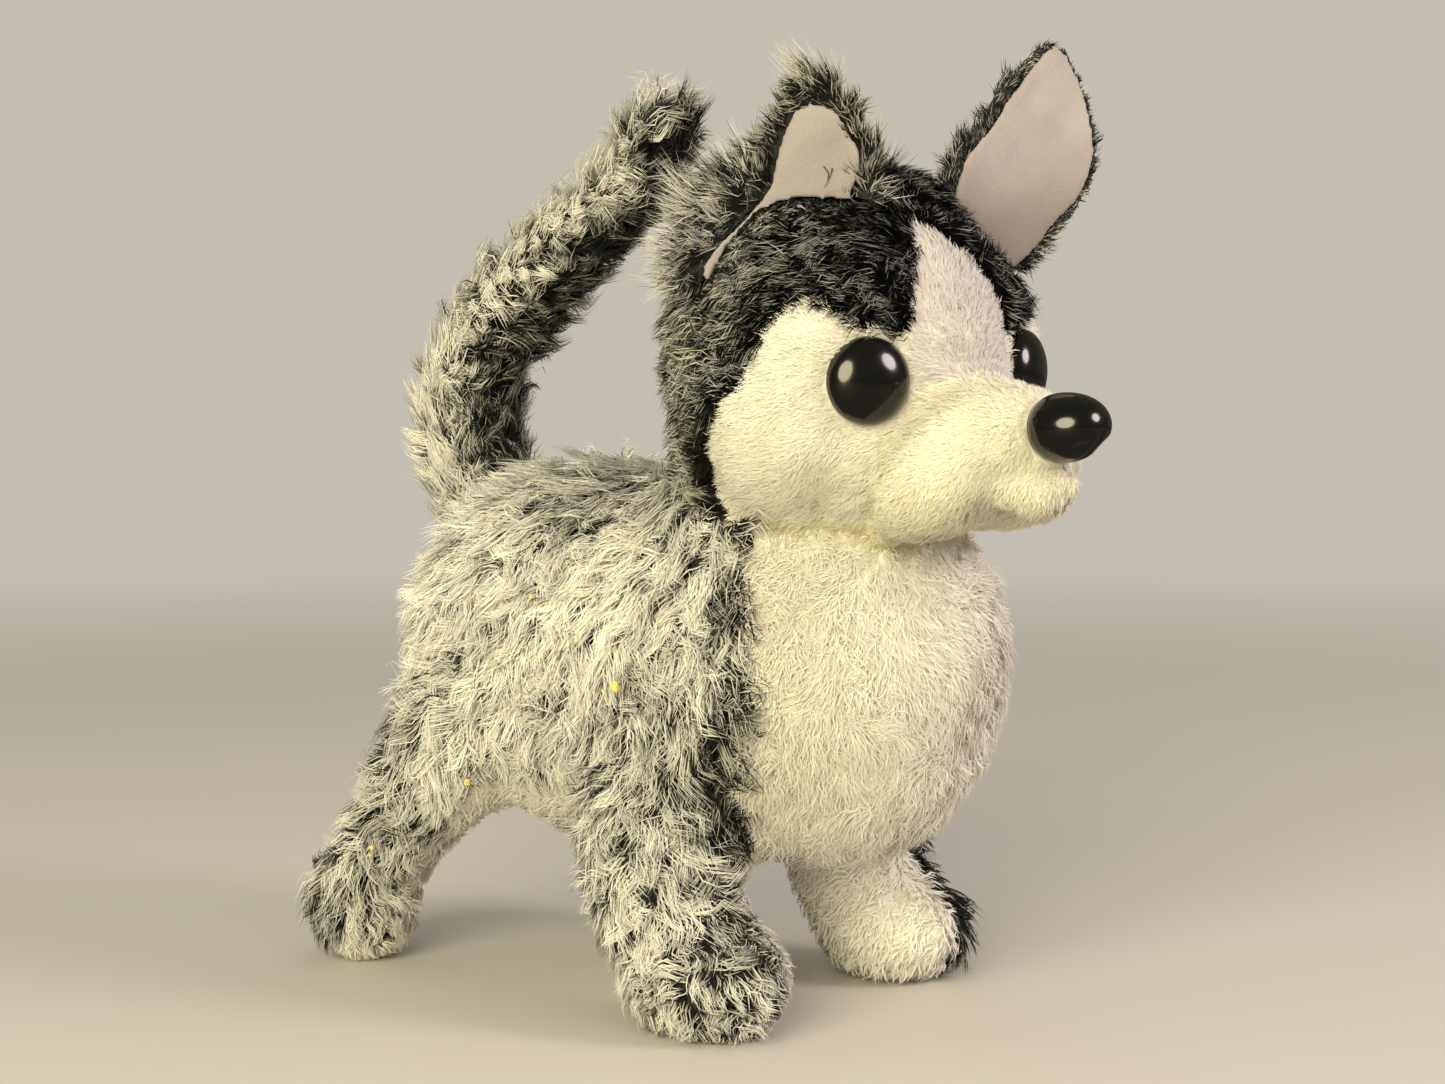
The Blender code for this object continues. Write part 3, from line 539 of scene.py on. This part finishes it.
def crownShade(places):
    here = toHead(places)
    turn = np.degrees(np.arctan2(np.abs(here[:, 0]), -here[:, 1]))
    # Painted shade along the seam with the cheek
    cheek = np.exp(-(apart(seamTrees[("cheek", "crown")], places) / 2.5) ** 2)
    return np.interp(turn, [30.0, 85.0], [0.28, 0.62]) + wander(places, 8.0, 15) * 0.2 - 0.3 * cheek


def faceShade(places):
    here = toHead(places)
    # Yellower and darker towards the bottom of the face
    low = np.interp(here[:, 2], [-34.0, -22.0, 0.0], [0.72, 0.82, 0.97])
    # Painted shade in the crease between cheek and muzzle, and under the head along the breast
    crease = 1.1 * np.exp(-(apart(seamTrees[("cheek", "muzzle")], places) / 1.3) ** 2)
    under = 0.7 * np.exp(-(apart(underFace, places) / 1.5) ** 2)
    return low - crease - under + wander(places, 14.0, 16) * 0.12


# The line where the head meets the breast
underFace = nearTree(points[[v for pair, found in seamVertices.items() for v in found
                             if "chest_bib" in pair and {"cheek", "muzzle", "chin"} & set(pair)]])

# Two faint stains on the breast, places in mm in the row frame
bibStains = [((-21.2, -62.0, 98.0), 3.4), ((-38.0, -42.5, 89.0), 1.6)]


def bibShade(places):
    # Painted shade under the head, along its seam with the breast
    under = 0.6 * np.exp(-(apart(underFace, places) / 2.0) ** 2)
    shade = 0.93 - under + wander(places, 16.0, 17) * 0.06
    # The near side of the breast is yellowed: painted tint of the warm fill light
    side = np.interp(places[:, 0] / mm, [-34.0, -14.0], [0.14, 0.0])
    for spot, size in bibStains:
        shade -= 0.3 * np.exp(-(np.linalg.norm(places / mm - np.array(spot), axis=1) / size) ** 2)
    return shade - side


def bellyShade(places):
    return 0.95 + wander(places, 12.0, 18) * 0.08


# Root and tip colours, how far along the fibre the tip's colour starts, and how much that differs between
# fibres, places and locks
frostedLook = dict(root="#171816", tip="#F6F4EA", frost=0.42, spread=0.75, patch=0.95, lockSpread=0.4,
                   shadeColour="#B2B2AC", through=0.30, sheen=0.08, gloss=0.3)
frostedShortLook = dict(frostedLook, root="#0C0D0B", tip="#E6E5D6", frost=0.62, spread=0.9, sheen=0.04)
blackLook = dict(frostedLook, root="#020203", tip="#DCDBD0", frost=0.9, spread=1.0, patch=0.8,
                 shadeColour="#8A8E98", sheen=0.0, gloss=0.12)
whiteLook = dict(root="#D8D5CA", tip="#E8E5DA", frost=0.3, spread=0.3, patch=0.3, lockSpread=0.1,
                 shadeColour="#C9BE9A", through=0.2, sheen=0.1, gloss=0.3)
creamLook = dict(whiteLook, root="#DCD9CC", tip="#EEEBDD", shadeColour="#CBBB86")
# The forehead wedge: the white plush made darker and pinker, as painted shade
shadedBrowLook = dict(whiteLook, root="#C9C3BE", tip="#DCD6D4", shadeColour="#E4DCDA", through=0.3)
materials = {
    "frosted": pileMaterial("frostedLongPlush", frostedLook),
    "frostedShort": pileMaterial("frostedShortPlush", frostedShortLook),
    "black": pileMaterial("blackTippedPlush", blackLook),
    "white": pileMaterial("whitePlush", whiteLook),
    "cream": pileMaterial("creamShavedPlush", creamLook),
    "brow": pileMaterial("shadedBrowWhitePlush", shadedBrowLook),  # painted shade on the forehead wedge
    "greyBacking": backingMaterial("greyKnitBacking", "#1E1E1D"),
    "blackBacking": backingMaterial("blackKnitBacking", "#0A0A0C"),
    "whiteBacking": backingMaterial("whiteKnitBacking", "#DEDACC"),
    "creamBacking": backingMaterial("creamKnitBacking", "#E0DCCB"),
}
longPile = dict(length=12.5, density=2.45, lock=2.9, pull=0.66, lift=0.62, droop=0.42, wave=0.2, waves=1.2,
                swirl=30.0, turn=0.8, mess=0.5, loose=0.45, width=0.33, segments=3, relief=0.6, bend=0.75)
shortPile = dict(longPile, length=3.6, density=7.0, lock=2.0, pull=0.12, lift=0.36, wave=0.1, swirl=18.0,
                 turn=0.35, mess=0.2, loose=0.35, width=0.23, segments=2, relief=0.1, bend=0.25)
muzzlePile = dict(shortPile, length=2.9, density=7.6, lock=1.2)


# Velvet of the ear linings: a dense nap under a millimetre long, so the cloth looks powdery and pales at
# its edges. The real nap is too fine to show, so it is drawn at about 0.5 mm, and the rubbing over about
# 11 mm. Below and just over the height low it darkens to a grey brown: painted shade at the ear's root
def velvetMaterial(name, colour, hollow, low):
    made, tree = newMaterial(name)
    place = node(tree, "ShaderNodeTexCoord").outputs["Object"]
    nap = node(tree, "ShaderNodeTexNoise", {"Vector": place, "Scale": 1900.0, "Detail": 2.0})
    rub = node(tree, "ShaderNodeTexNoise", {"Vector": place, "Scale": 90.0, "Detail": 4.0})
    tone = node(tree, "ShaderNodeMix", {0: rub.outputs[0], 6: linear(colour), 7: linear(hollow)},
                data_type="RGBA")
    height = node(tree, "ShaderNodeSeparateXYZ", {"Vector": place}).outputs[2]
    # Painted shade: darker towards the ear's root, below the height low
    deep = node(tree, "ShaderNodeMapRange", {"Value": height, "From Min": low, "From Max": low + 22.0 * mm,
                                             "To Min": 0.85, "To Max": 0.0}, interpolation_type="SMOOTHSTEP")
    shadedRoot = node(tree, "ShaderNodeMix", {0: deep.outputs[0], 6: tone.outputs[2], 7: linear("#6E6360")},
                  data_type="RGBA")
    fine = node(tree, "ShaderNodeMath", {0: nap.outputs[0], 1: 0.3}, operation="MULTIPLY")
    speck = node(tree, "ShaderNodeMix", {0: fine.outputs[0], 6: shadedRoot.outputs[2], 7: linear("#B7A79B")},
                 data_type="RGBA", blend_type="MULTIPLY")
    bump = node(tree, "ShaderNodeBump", {"Height": nap.outputs[0], "Strength": 0.6, "Distance": 0.25 * mm})
    velvet = node(tree, "ShaderNodeBsdfPrincipled", {"Base Color": speck.outputs[2], "Roughness": 0.95,
                                                     "Sheen Weight": 0.35, "Sheen Roughness": 0.4,
                                                     "Normal": bump.outputs[0]})
    node(tree, "ShaderNodeOutputMaterial", {"Surface": velvet.outputs[0]})
    return made


print("stage: ears")
earLook = dict(lining="#A59E9D", hollow="#8A8080")
# The far ear's lining darkens towards its root with painted shade, the folded near ear's does not
earVelvets = {side: velvetMaterial("creamVelvet_" + side, earLook["lining"], earLook["hollow"], low * mm)
              for side, low in (("right", -50.0), ("left", 164.0))}
liningTrees = []
liningFaces = []
earRoots = {"right": (-21.5, -2.5, 23.0), "left": (28.75, -15.0, 26.5)}
formTree = BVHTree.FromPolygons([tuple(c) for c in points],
                                [tuple(int(k) for k in face) for face in triangles])
earPile = dict(longPile, density=9.5, lock=2.0, pull=0.55, width=0.26, segments=2, mess=0.4)
# The folded near ear's fur stands out round it, the far ear's lies back along its edge
earFur = {"right": dict(length=12.5, lift=0.5, back=0.7, density=9.5, bare=1.1),
          "left": dict(length=8.5, lift=0.3, back=0.85, density=5.8, bare=0.7)}
for side, root in earRoots.items():
    lining = evenly(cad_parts["ear_lining_" + side].data.copy(), 0.8, 8)
    spots, _, away = meshArrays(lining)
    spots += away * (wander(spots, 10.0, 31)[:, None] * 0.4) * mm
    lining.vertices.foreach_set("co", spots.ravel())
    lining.materials.clear()
    lining.materials.append(earVelvets[side])
    lining.polygons.foreach_set("use_smooth", np.ones(len(lining.polygons), bool))
    piece = addObject("ear_lining_" + side + "_velvet", lining)
    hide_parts("ear_lining_" + side)
    outer = evenly(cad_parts["ear_outer_" + side].data.copy(), 1.1, 2)
    rim, _, outward = meshArrays(outer)
    outer.vertices.foreach_set("co", (rim - outward * 0.45 * mm).ravel())
    outer.update()
    outer.materials.clear()
    outer.materials.append(materials["greyBacking"])
    piece = addObject("ear_outer_" + side + "_cloth", outer)
    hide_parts("ear_outer_" + side)
    earSource = meshArrays(outer)
    liningTrees.append(nearTree(spots[::6]))
    liningFaces.append(([tuple(c) for c in spots], [tuple(f.vertices) for f in lining.polygons]))
    liningTree = BVHTree.FromPolygons(*liningFaces[-1])
    middles = earSource[0][earSource[1]].mean(axis=1)
    heart = np.array(inHead(*root))
    fur = earFur[side]
    bare = np.array([liningTree.find_nearest(Vector(m))[3] > fur["bare"] * mm
                     and formTree.find_nearest(Vector(m))[3] > 0.7 * mm for m in middles])
    back = unit(earSource[0].mean(axis=0) - spots.mean(axis=0)) * fur["back"]

    def earFlow(places, heart=heart, back=back):
        return unit(places - heart) + back

    def earShade(places, tree=liningTrees[-1]):
        return np.interp(apart(tree, places), [1.0, 5.0], [0.0, 0.42]) + wander(places, 8.0, 33) * 0.25

    def earLength(places, tree=liningTrees[-1], outerEdge=side == "left"):
        near = np.interp(apart(tree, places), [1.0, 5.0], [0.45, 1.0])
        if outerEdge:  # rubbed short along its outer edge
            near *= np.interp(toHead(places)[:, 0], [38.0, 46.0], [1.0, 0.6])
        return near

    pile = dict(earPile, length=fur["length"], lift=fur["lift"], density=fur["density"])
    grown = grow("ear_outer_" + side + "_pile", earSource, bare, earFlow, pile, materials["frosted"],
                 60 + len(side), earShade, earLength)


# Each kind of panel: its pile, which way it lies, its shade and length over the panel, its cloths and its
# slot in the record
kinds = {
    "side_panel": dict(pile=longPile, flow=bodyFlow, shade=bodyShade, length=bodyLength, cloth="frosted",
                       backing="greyBacking", slot="frosted_grey_plush"),
    "tail_skin": dict(pile=dict(longPile, length=12.2, density=3.0, lift=0.72, lock=3.2, pull=0.74, turn=0.45,
                                mess=0.3),
                      flow=tailFlow, shade=tailShade, cloth="frosted", backing="greyBacking",
                      slot="frosted_grey_plush"),
    "head_back": dict(pile=dict(longPile, length=9.5, density=4.0, lock=2.3, pull=0.55, lift=0.74, width=0.28,
                                segments=2),
                      flow=headBackFlow, shade=headBackShade, length=headLength, cloth="frostedShort",
                      backing="greyBacking", slot="frosted_grey_plush"),
    "crown": dict(pile=dict(longPile, length=7.4, density=5.4, lock=2.0, pull=0.5, lift=0.46, width=0.27,
                            segments=2, turn=0.45, mess=0.3),
                  flow=crownFlow, shade=crownShade, length=headLength, cloth="black", backing="blackBacking",
                  slot="dark_plush"),
    "cheek": dict(pile=shortPile, flow=faceFlow, shade=faceShade, cloth="white", backing="whiteBacking",
                  slot="white_plush"),
    "blaze": dict(pile=shortPile, flow=faceFlow, shade=faceShade, cloth="brow", backing="whiteBacking",
                  slot="white_plush"),
    "muzzle": dict(pile=muzzlePile, flow=faceFlow, shade=faceShade, cloth="cream", backing="creamBacking",
                   slot="cream_plush"),
    "chin": dict(pile=muzzlePile, flow=faceFlow, shade=faceShade, cloth="cream", backing="creamBacking",
                 slot="cream_plush"),
    "chest_bib": dict(pile=dict(longPile, length=7.2, density=4.6, lock=2.6, pull=0.3, lift=0.45, width=0.25,
                                segments=2, loose=0.6, relief=0.15, bend=0.3),
                      flow=bibFlow, shade=bibShade, length=bibLength, cloth="white", backing="whiteBacking",
                      slot="white_plush"),
    "underbody": dict(pile=dict(longPile, length=5.2, density=2.7, lock=2.2, pull=0.25, lift=0.4, width=0.4,
                                segments=2, relief=0.1, bend=0.3),
                      flow=bellyFlow, shade=bellyShade, cloth="white", backing="whiteBacking",
                      slot="white_plush"),
}

# Eyes and nose, places in mm in the head's own frame
eyeLook = dict(diameter=17.6, dome=5.8, splay=22.0)
noseLook = dict(width=16.5, height=13.8, depth=12.8)
stemOutline = [(2.4, -10.5), (0.0, -10.8)]
buttons = {}
sideways, forwards = math.sin(math.radians(eyeLook["splay"])), -math.cos(math.radians(eyeLook["splay"]))
for name, direction, height in (
    ("eye_right", (-sideways, forwards, -0.02), eyeLook["dome"]),
    ("eye_left", (sideways, forwards, -0.02), eyeLook["dome"]),
    ("nose", (0.0, -1.0, 0.10), noseLook["depth"]),
):
    axis = (headFrame.to_3x3() @ Vector(direction)).normalized()
    spots = meshArrays(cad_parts[name].data)[0]
    reach = spots @ np.array(axis)
    apex = spots[reach.argmax()]
    turn = Vector(headFrame.to_3x3().inverted() @ axis).to_track_quat("Z", "Y").to_matrix().to_4x4()
    base = Vector(apex) - axis * height * mm
    buttons[name] = Matrix.Translation(base) @ headFrame.to_3x3().to_4x4() @ turn
# No face pile grows inside these balls
guards = [(np.array(buttons[name].translation), eyeLook["diameter"] / 2 * 0.93 * mm)
          for name in ("eye_right", "eye_left")]
guards.append((np.array(buttons["nose"] @ Vector((0, 0, 3 * mm))), 7.4 * mm))

# Fewer fibres on the far side, each wider for the same cover
farShare = {"side_panel_left": 0.36, "underbody_left": 0.5, "head_back_left": 0.55, "cheek_left": 0.75}

print("stage: plush panels")
source = (points, triangles, normals)
for index, name in enumerate(panels):
    kind = kinds[kindOf[index]]
    skin = skinPiece(name + "_cloth", index, materials[kind["backing"]])
    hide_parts(name)
    pile = dict(kind["pile"])
    share = farShare.get(name, 1.0)
    pile["density"] *= share
    pile["width"] *= share ** -0.55
    guard = guards if kindOf[index] in ("cheek", "muzzle", "chin", "blaze") else ()
    grown = grow(name + "_pile", source, belongs == index, kind["flow"], pile, materials[kind["cloth"]],
                 20 + index, kind["shade"], kind.get("length"), guard)


# Eyes and nose are injection moulded in black plastic, straight from a polished mould, so highlights are
# near sharp, with smears about 4 mm across
def mouldedMaterial(name, colour, roughness):
    made, tree = newMaterial(name)
    place = node(tree, "ShaderNodeTexCoord").outputs["Object"]
    smear = node(tree, "ShaderNodeTexNoise", {"Vector": place, "Scale": 260.0, "Detail": 4.0})
    rough = node(tree, "ShaderNodeMapRange", {"Value": smear.outputs[0], "To Min": roughness * 0.7,
                                              "To Max": roughness * 1.6})
    plastic = node(tree, "ShaderNodeBsdfPrincipled", {"Base Color": linear(colour),
                                                      "Roughness": rough.outputs[0], "IOR": 1.49,
                                                      "Coat Weight": 0.3, "Coat Roughness": 0.04})
    node(tree, "ShaderNodeOutputMaterial", {"Surface": plastic.outputs[0]})
    return made


# A solid turned from an outline of (radius, height) in mm about its own Z
def turnedMesh(name, outline, sides=72, stretch=1.0):
    bm = bmesh.new()
    rings = []
    for radius, height in outline:
        angles = [math.tau * k / sides for k in range(sides)] if radius > 1e-6 else [0.0]
        rings.append([bm.verts.new((radius * mm * math.cos(a), radius * mm * math.sin(a) * stretch,
                                    height * mm)) for a in angles])
    for low, high in zip(rings, rings[1:]):
        for k in range(sides):
            around = [low[k % len(low)], low[(k + 1) % len(low)]]
            around += [high[(k + 1) % len(high)], high[k % len(high)]]
            bm.faces.new(list(dict.fromkeys(around)))
    bmesh.ops.recalc_face_normals(bm, faces=bm.faces[:])
    mesh = bpy.data.meshes.new(name)
    bm.to_mesh(mesh)
    bm.free()
    mesh.polygons.foreach_set("use_smooth", np.ones(len(mesh.polygons), bool))
    return mesh


print("stage: eyes and nose")
gloss = mouldedMaterial("mouldedBlackPlastic", "#070707", 0.15)
for name in ("eye_right", "eye_left"):
    wide = eyeLook["diameter"] / 2
    outline = [(wide * math.sin(a), 0.8 + (eyeLook["dome"] - 0.8) * math.cos(a))
               for a in np.linspace(0, math.pi / 2, 28)]
    outline += [(wide, 0.35), (wide * 0.985, 0.0), (wide * 0.9, -0.2), (2.4, -0.2), *stemOutline]
    mesh = turnedMesh(name + "_button", outline)
    mesh.materials.append(gloss)
    mesh.transform(buttons[name])
    eye = addObject(name + "_button", mesh)
    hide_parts(name)
wide, deep = noseLook["width"] / 2, noseLook["depth"]
outline = [(wide * math.sin(a) ** 0.92, deep * 0.22 + deep * 0.78 * math.cos(a))
           for a in np.linspace(0, math.pi / 2, 30)]
outline += [(wide * 0.97, deep * 0.1), (wide * 0.9, 0.0), (2.4, 0.0), *stemOutline]
mesh = turnedMesh("nose_button", outline, 96, noseLook["height"] / noseLook["width"])
spots, _, away = meshArrays(mesh)
# Nostril notches low on each side, and the split between them, pressed in by the mould
for x in (3.1, -3.1):
    gap = np.linalg.norm((spots / mm - np.array([x, -4.4, 9.3])) / np.array([2.4, 1.5, 2.4]), axis=1)
    spots -= away * (0.9 * np.exp(-gap ** 2))[:, None] * mm
split = np.exp(-(spots[:, 0] / mm / 0.45) ** 2) * np.clip(-spots[:, 1] / mm / 4.0, 0, 1)
spots -= away * (0.55 * split * (spots[:, 2] > 2 * mm))[:, None] * mm
mesh.vertices.foreach_set("co", spots.ravel())
mesh.materials.append(gloss)
mesh.transform(buttons["nose"])
nose = addObject("nose_button", mesh)
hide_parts("nose")

washerPlastic = mouldedMaterial("mouldedWhitePlastic", "#D8D6D0", 0.45)
fibreFill = backingMaterial("polyesterFibrefill", "#F1EFE9", 700.0)
for name in ("eye_right_washer", "eye_left_washer", "nose_washer"):
    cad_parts[name].data.materials.clear()
    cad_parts[name].data.materials.append(washerPlastic)
# The filling, lumpy as pushed-in handfuls of fibre
filling = evenly(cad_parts["stuffing"].data.copy(), 4.5, 2)
spots, _, away = meshArrays(filling)
spots -= away * (0.5 + 0.4 * wander(spots, 11.0, 41))[:, None] * mm
filling.vertices.foreach_set("co", spots.ravel())
filling.materials.clear()
filling.materials.append(fibreFill)
filling = addObject("stuffing_fibrefill", filling)
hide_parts("stuffing")

# The camera, and the frame of the photograph in its own pixels
view = dict(place=(-0.39200, -0.32595, 0.12406), pitch=87.21, turn=-50.0, lens=57.301, sensor=36.0,
            wide=1445.0, high=1084.0)

# Dry yellow crumbs caught in the fur and loose dark hairs, where the photograph's picture points show them:
# each found by looking along the camera's line to that point
print("stage: crumbs and loose hairs")
eyePoint = Vector(view["place"])
eyeTurn = (Matrix.Rotation(math.radians(view["turn"]), 3, "Z")
           @ Matrix.Rotation(math.radians(view["pitch"]), 3, "X"))


def lookTo(x, y, tree):
    scale = view["sensor"] / view["lens"] / view["wide"]
    ahead = Vector(((x - view["wide"] / 2) * scale, (view["high"] / 2 - y) * scale, -1.0))
    ray = (eyeTurn @ ahead).normalized()
    spot, normal, _, _ = tree.ray_cast(eyePoint, ray)
    if spot is None:  # just off the skin, in the fur round it
        spot, normal, _, _ = tree.find_nearest(eyePoint + ray * (Vector((0.0, 0.0, 0.1)) - eyePoint).length)
    return spot, normal


def lump(bm, centre, size, dice):
    made = bmesh.ops.create_icosphere(bm, subdivisions=2, radius=size * mm, matrix=Matrix.Translation(centre))
    for vertex in made["verts"]:
        vertex.co = centre + (vertex.co - centre) * dice.uniform(0.7, 1.3)


dryCrumb = backingMaterial("dryCrumb", "#E2CC78", 900.0)
# Picture point, radius and height over the skin in mm
crumbs = [(637, 690, 1.1, 7.0), (628, 695, 0.4, 7.5), (553, 604, 0.5, 7.0), (470, 765, 0.7, 6.0),
          (300, 893, 0.6, 5.0), (297, 904, 0.4, 5.0)]
dice = np.random.default_rng(91)
bm = bmesh.new()
for x, y, size, out in crumbs:
    spot, normal = lookTo(x, y, formTree)
    lump(bm, spot + normal * out * mm, size, dice)
mesh = bpy.data.meshes.new("crumbs")
bm.to_mesh(mesh)
bm.free()
mesh.materials.append(dryCrumb)
addObject("crumbs", mesh)


# A thin fibre through some points, as a tapered three-sided thread
def thread(bm, places, thickness):
    rings = []
    for k, place in enumerate(places):
        ahead = (places[min(k + 1, len(places) - 1)] - places[max(k - 1, 0)]).normalized()
        across = ahead.orthogonal().normalized()
        over = ahead.cross(across)
        size = thickness / 2 * mm * (1.0 - 0.7 * k / (len(places) - 1))
        rings.append([bm.verts.new(place + (across * math.cos(a) + over * math.sin(a)) * size)
                      for a in (0.0, math.tau / 3, math.tau * 2 / 3)])
    for low, high in zip(rings, rings[1:]):
        for k in range(3):
            bm.faces.new((low[k], low[(k + 1) % 3], high[(k + 1) % 3], high[k]))


hairThickness = 0.3
bm = bmesh.new()
velvetTree = BVHTree.FromPolygons(*liningFaces[0])
for line in ([(824, 166), (829, 173), (828, 182), (824, 188)], [(833, 168), (831, 175), (828, 181)]):
    places = []
    for x, y in line:
        spot, normal = lookTo(x, y, velvetTree)
        places.append(spot + normal * 0.5 * mm)
    thread(bm, places, hairThickness)
wispRoot = Vector(tailCurve[70])
for turn in (0.0, 0.5, 1.0, 1.6):
    bend = Vector((math.sin(turn) * 0.4 - 0.2, -1.0, 0.15 * math.cos(turn * 3))).normalized()
    thread(bm, [wispRoot + bend * reach * mm + Vector((0.0, 0.0, -0.02 * (reach - 9.0) ** 2 * mm))
                for reach in (9.0, 12.0, 15.0, 18.0)], hairThickness)
mesh = bpy.data.meshes.new("loose_hairs")
bm.to_mesh(mesh)
bm.free()
mesh.materials.append(materials["blackBacking"])
addObject("loose_hairs", mesh)

# Table, room and light. Glossy rays meet a darker table and room than the camera sees
print("stage: table, light and camera")
bpy.ops.mesh.primitive_plane_add(size=8.0, location=(0.0, 0.0, -0.0002))
floor = bpy.context.object
floor.name = "floor"
paint, tree = newMaterial("palePaintedTable")
roomColour = "#C4BEB2"
shader = node(tree, "ShaderNodeBsdfPrincipled", {"Base Color": linear("#C8C4BB"), "Roughness": 0.6})
place = node(tree, "ShaderNodeTexCoord").outputs["Object"]
away = node(tree, "ShaderNodeVectorMath", {0: place}, operation="LENGTH")
far = node(tree, "ShaderNodeMapRange", {"Value": away.outputs["Value"], "From Min": 0.35, "From Max": 1.6},
           interpolation_type="SMOOTHSTEP")
path = node(tree, "ShaderNodeLightPath")
seen = node(tree, "ShaderNodeMath", {0: far.outputs[0], 1: path.outputs["Is Camera Ray"]},
            operation="MULTIPLY")
haze = node(tree, "ShaderNodeEmission", {"Color": linear(roomColour)})
faded = node(tree, "ShaderNodeMixShader", {0: seen.outputs[0], 1: shader.outputs[0], 2: haze.outputs[0]})
dark = node(tree, "ShaderNodeEmission", {"Color": linear("#1A1712")})
mirrored = node(tree, "ShaderNodeMath", {0: path.outputs["Is Glossy Ray"], 1: 0.75}, operation="MULTIPLY")
final = node(tree, "ShaderNodeMixShader", {0: mirrored.outputs[0], 1: faded.outputs[0], 2: dark.outputs[0]})
node(tree, "ShaderNodeOutputMaterial", {"Surface": final.outputs[0]})
floor.data.materials.append(paint)

world = bpy.data.worlds.new("softRoom")
bpy.context.scene.world = world
world.use_nodes = True
tree = world.node_tree
tree.nodes.clear()
path = node(tree, "ShaderNodeLightPath")
roomLight = node(tree, "ShaderNodeBackground", {"Color": linear("#EDEAE2"), "Strength": 0.7})
backdrop = node(tree, "ShaderNodeBackground", {"Color": linear(roomColour), "Strength": 1.0})
dimRoom = node(tree, "ShaderNodeBackground", {"Color": linear("#B8AE98"), "Strength": 0.3})
shiny = node(tree, "ShaderNodeMixShader", {0: path.outputs["Is Glossy Ray"], 1: roomLight.outputs[0],
                                           2: dimRoom.outputs[0]})
both = node(tree, "ShaderNodeMixShader", {0: path.outputs["Is Camera Ray"], 1: shiny.outputs[0],
                                          2: backdrop.outputs[0]})
node(tree, "ShaderNodeOutputWorld", {"Surface": both.outputs[0]})


def softLight(name, place, size, power, colour):
    data = bpy.data.lights.new(name, "AREA")
    data.shape = "DISK"
    data.size = size
    data.energy = power
    data.color = linear(colour)[:3]
    made = bpy.data.objects.new(name, data)
    bpy.context.scene.collection.objects.link(made)
    made.location = place
    made.rotation_euler = (Vector((0.0, 0.0, 0.10)) - Vector(place)).to_track_quat("-Z", "Y").to_euler()


softLight("windowLight", (0.35, -1.0, 0.6), 0.5, 7.8, "#FFF0EE")
softLight("roomFill", (-1.0, -0.35, 0.42), 0.8, 16.4, "#FFF6CC")

camera = bpy.data.cameras.new("camera")
camera.sensor_width = view["sensor"]
camera.lens = view["lens"]
camera.clip_start = 0.01
viewer = bpy.data.objects.new("camera", camera)
bpy.context.scene.collection.objects.link(viewer)
viewer.location = view["place"]
viewer.rotation_euler = (math.radians(view["pitch"]), 0.0, math.radians(view["turn"]))
bpy.context.scene.camera = viewer
bpy.context.scene.view_settings.view_transform = "Standard"
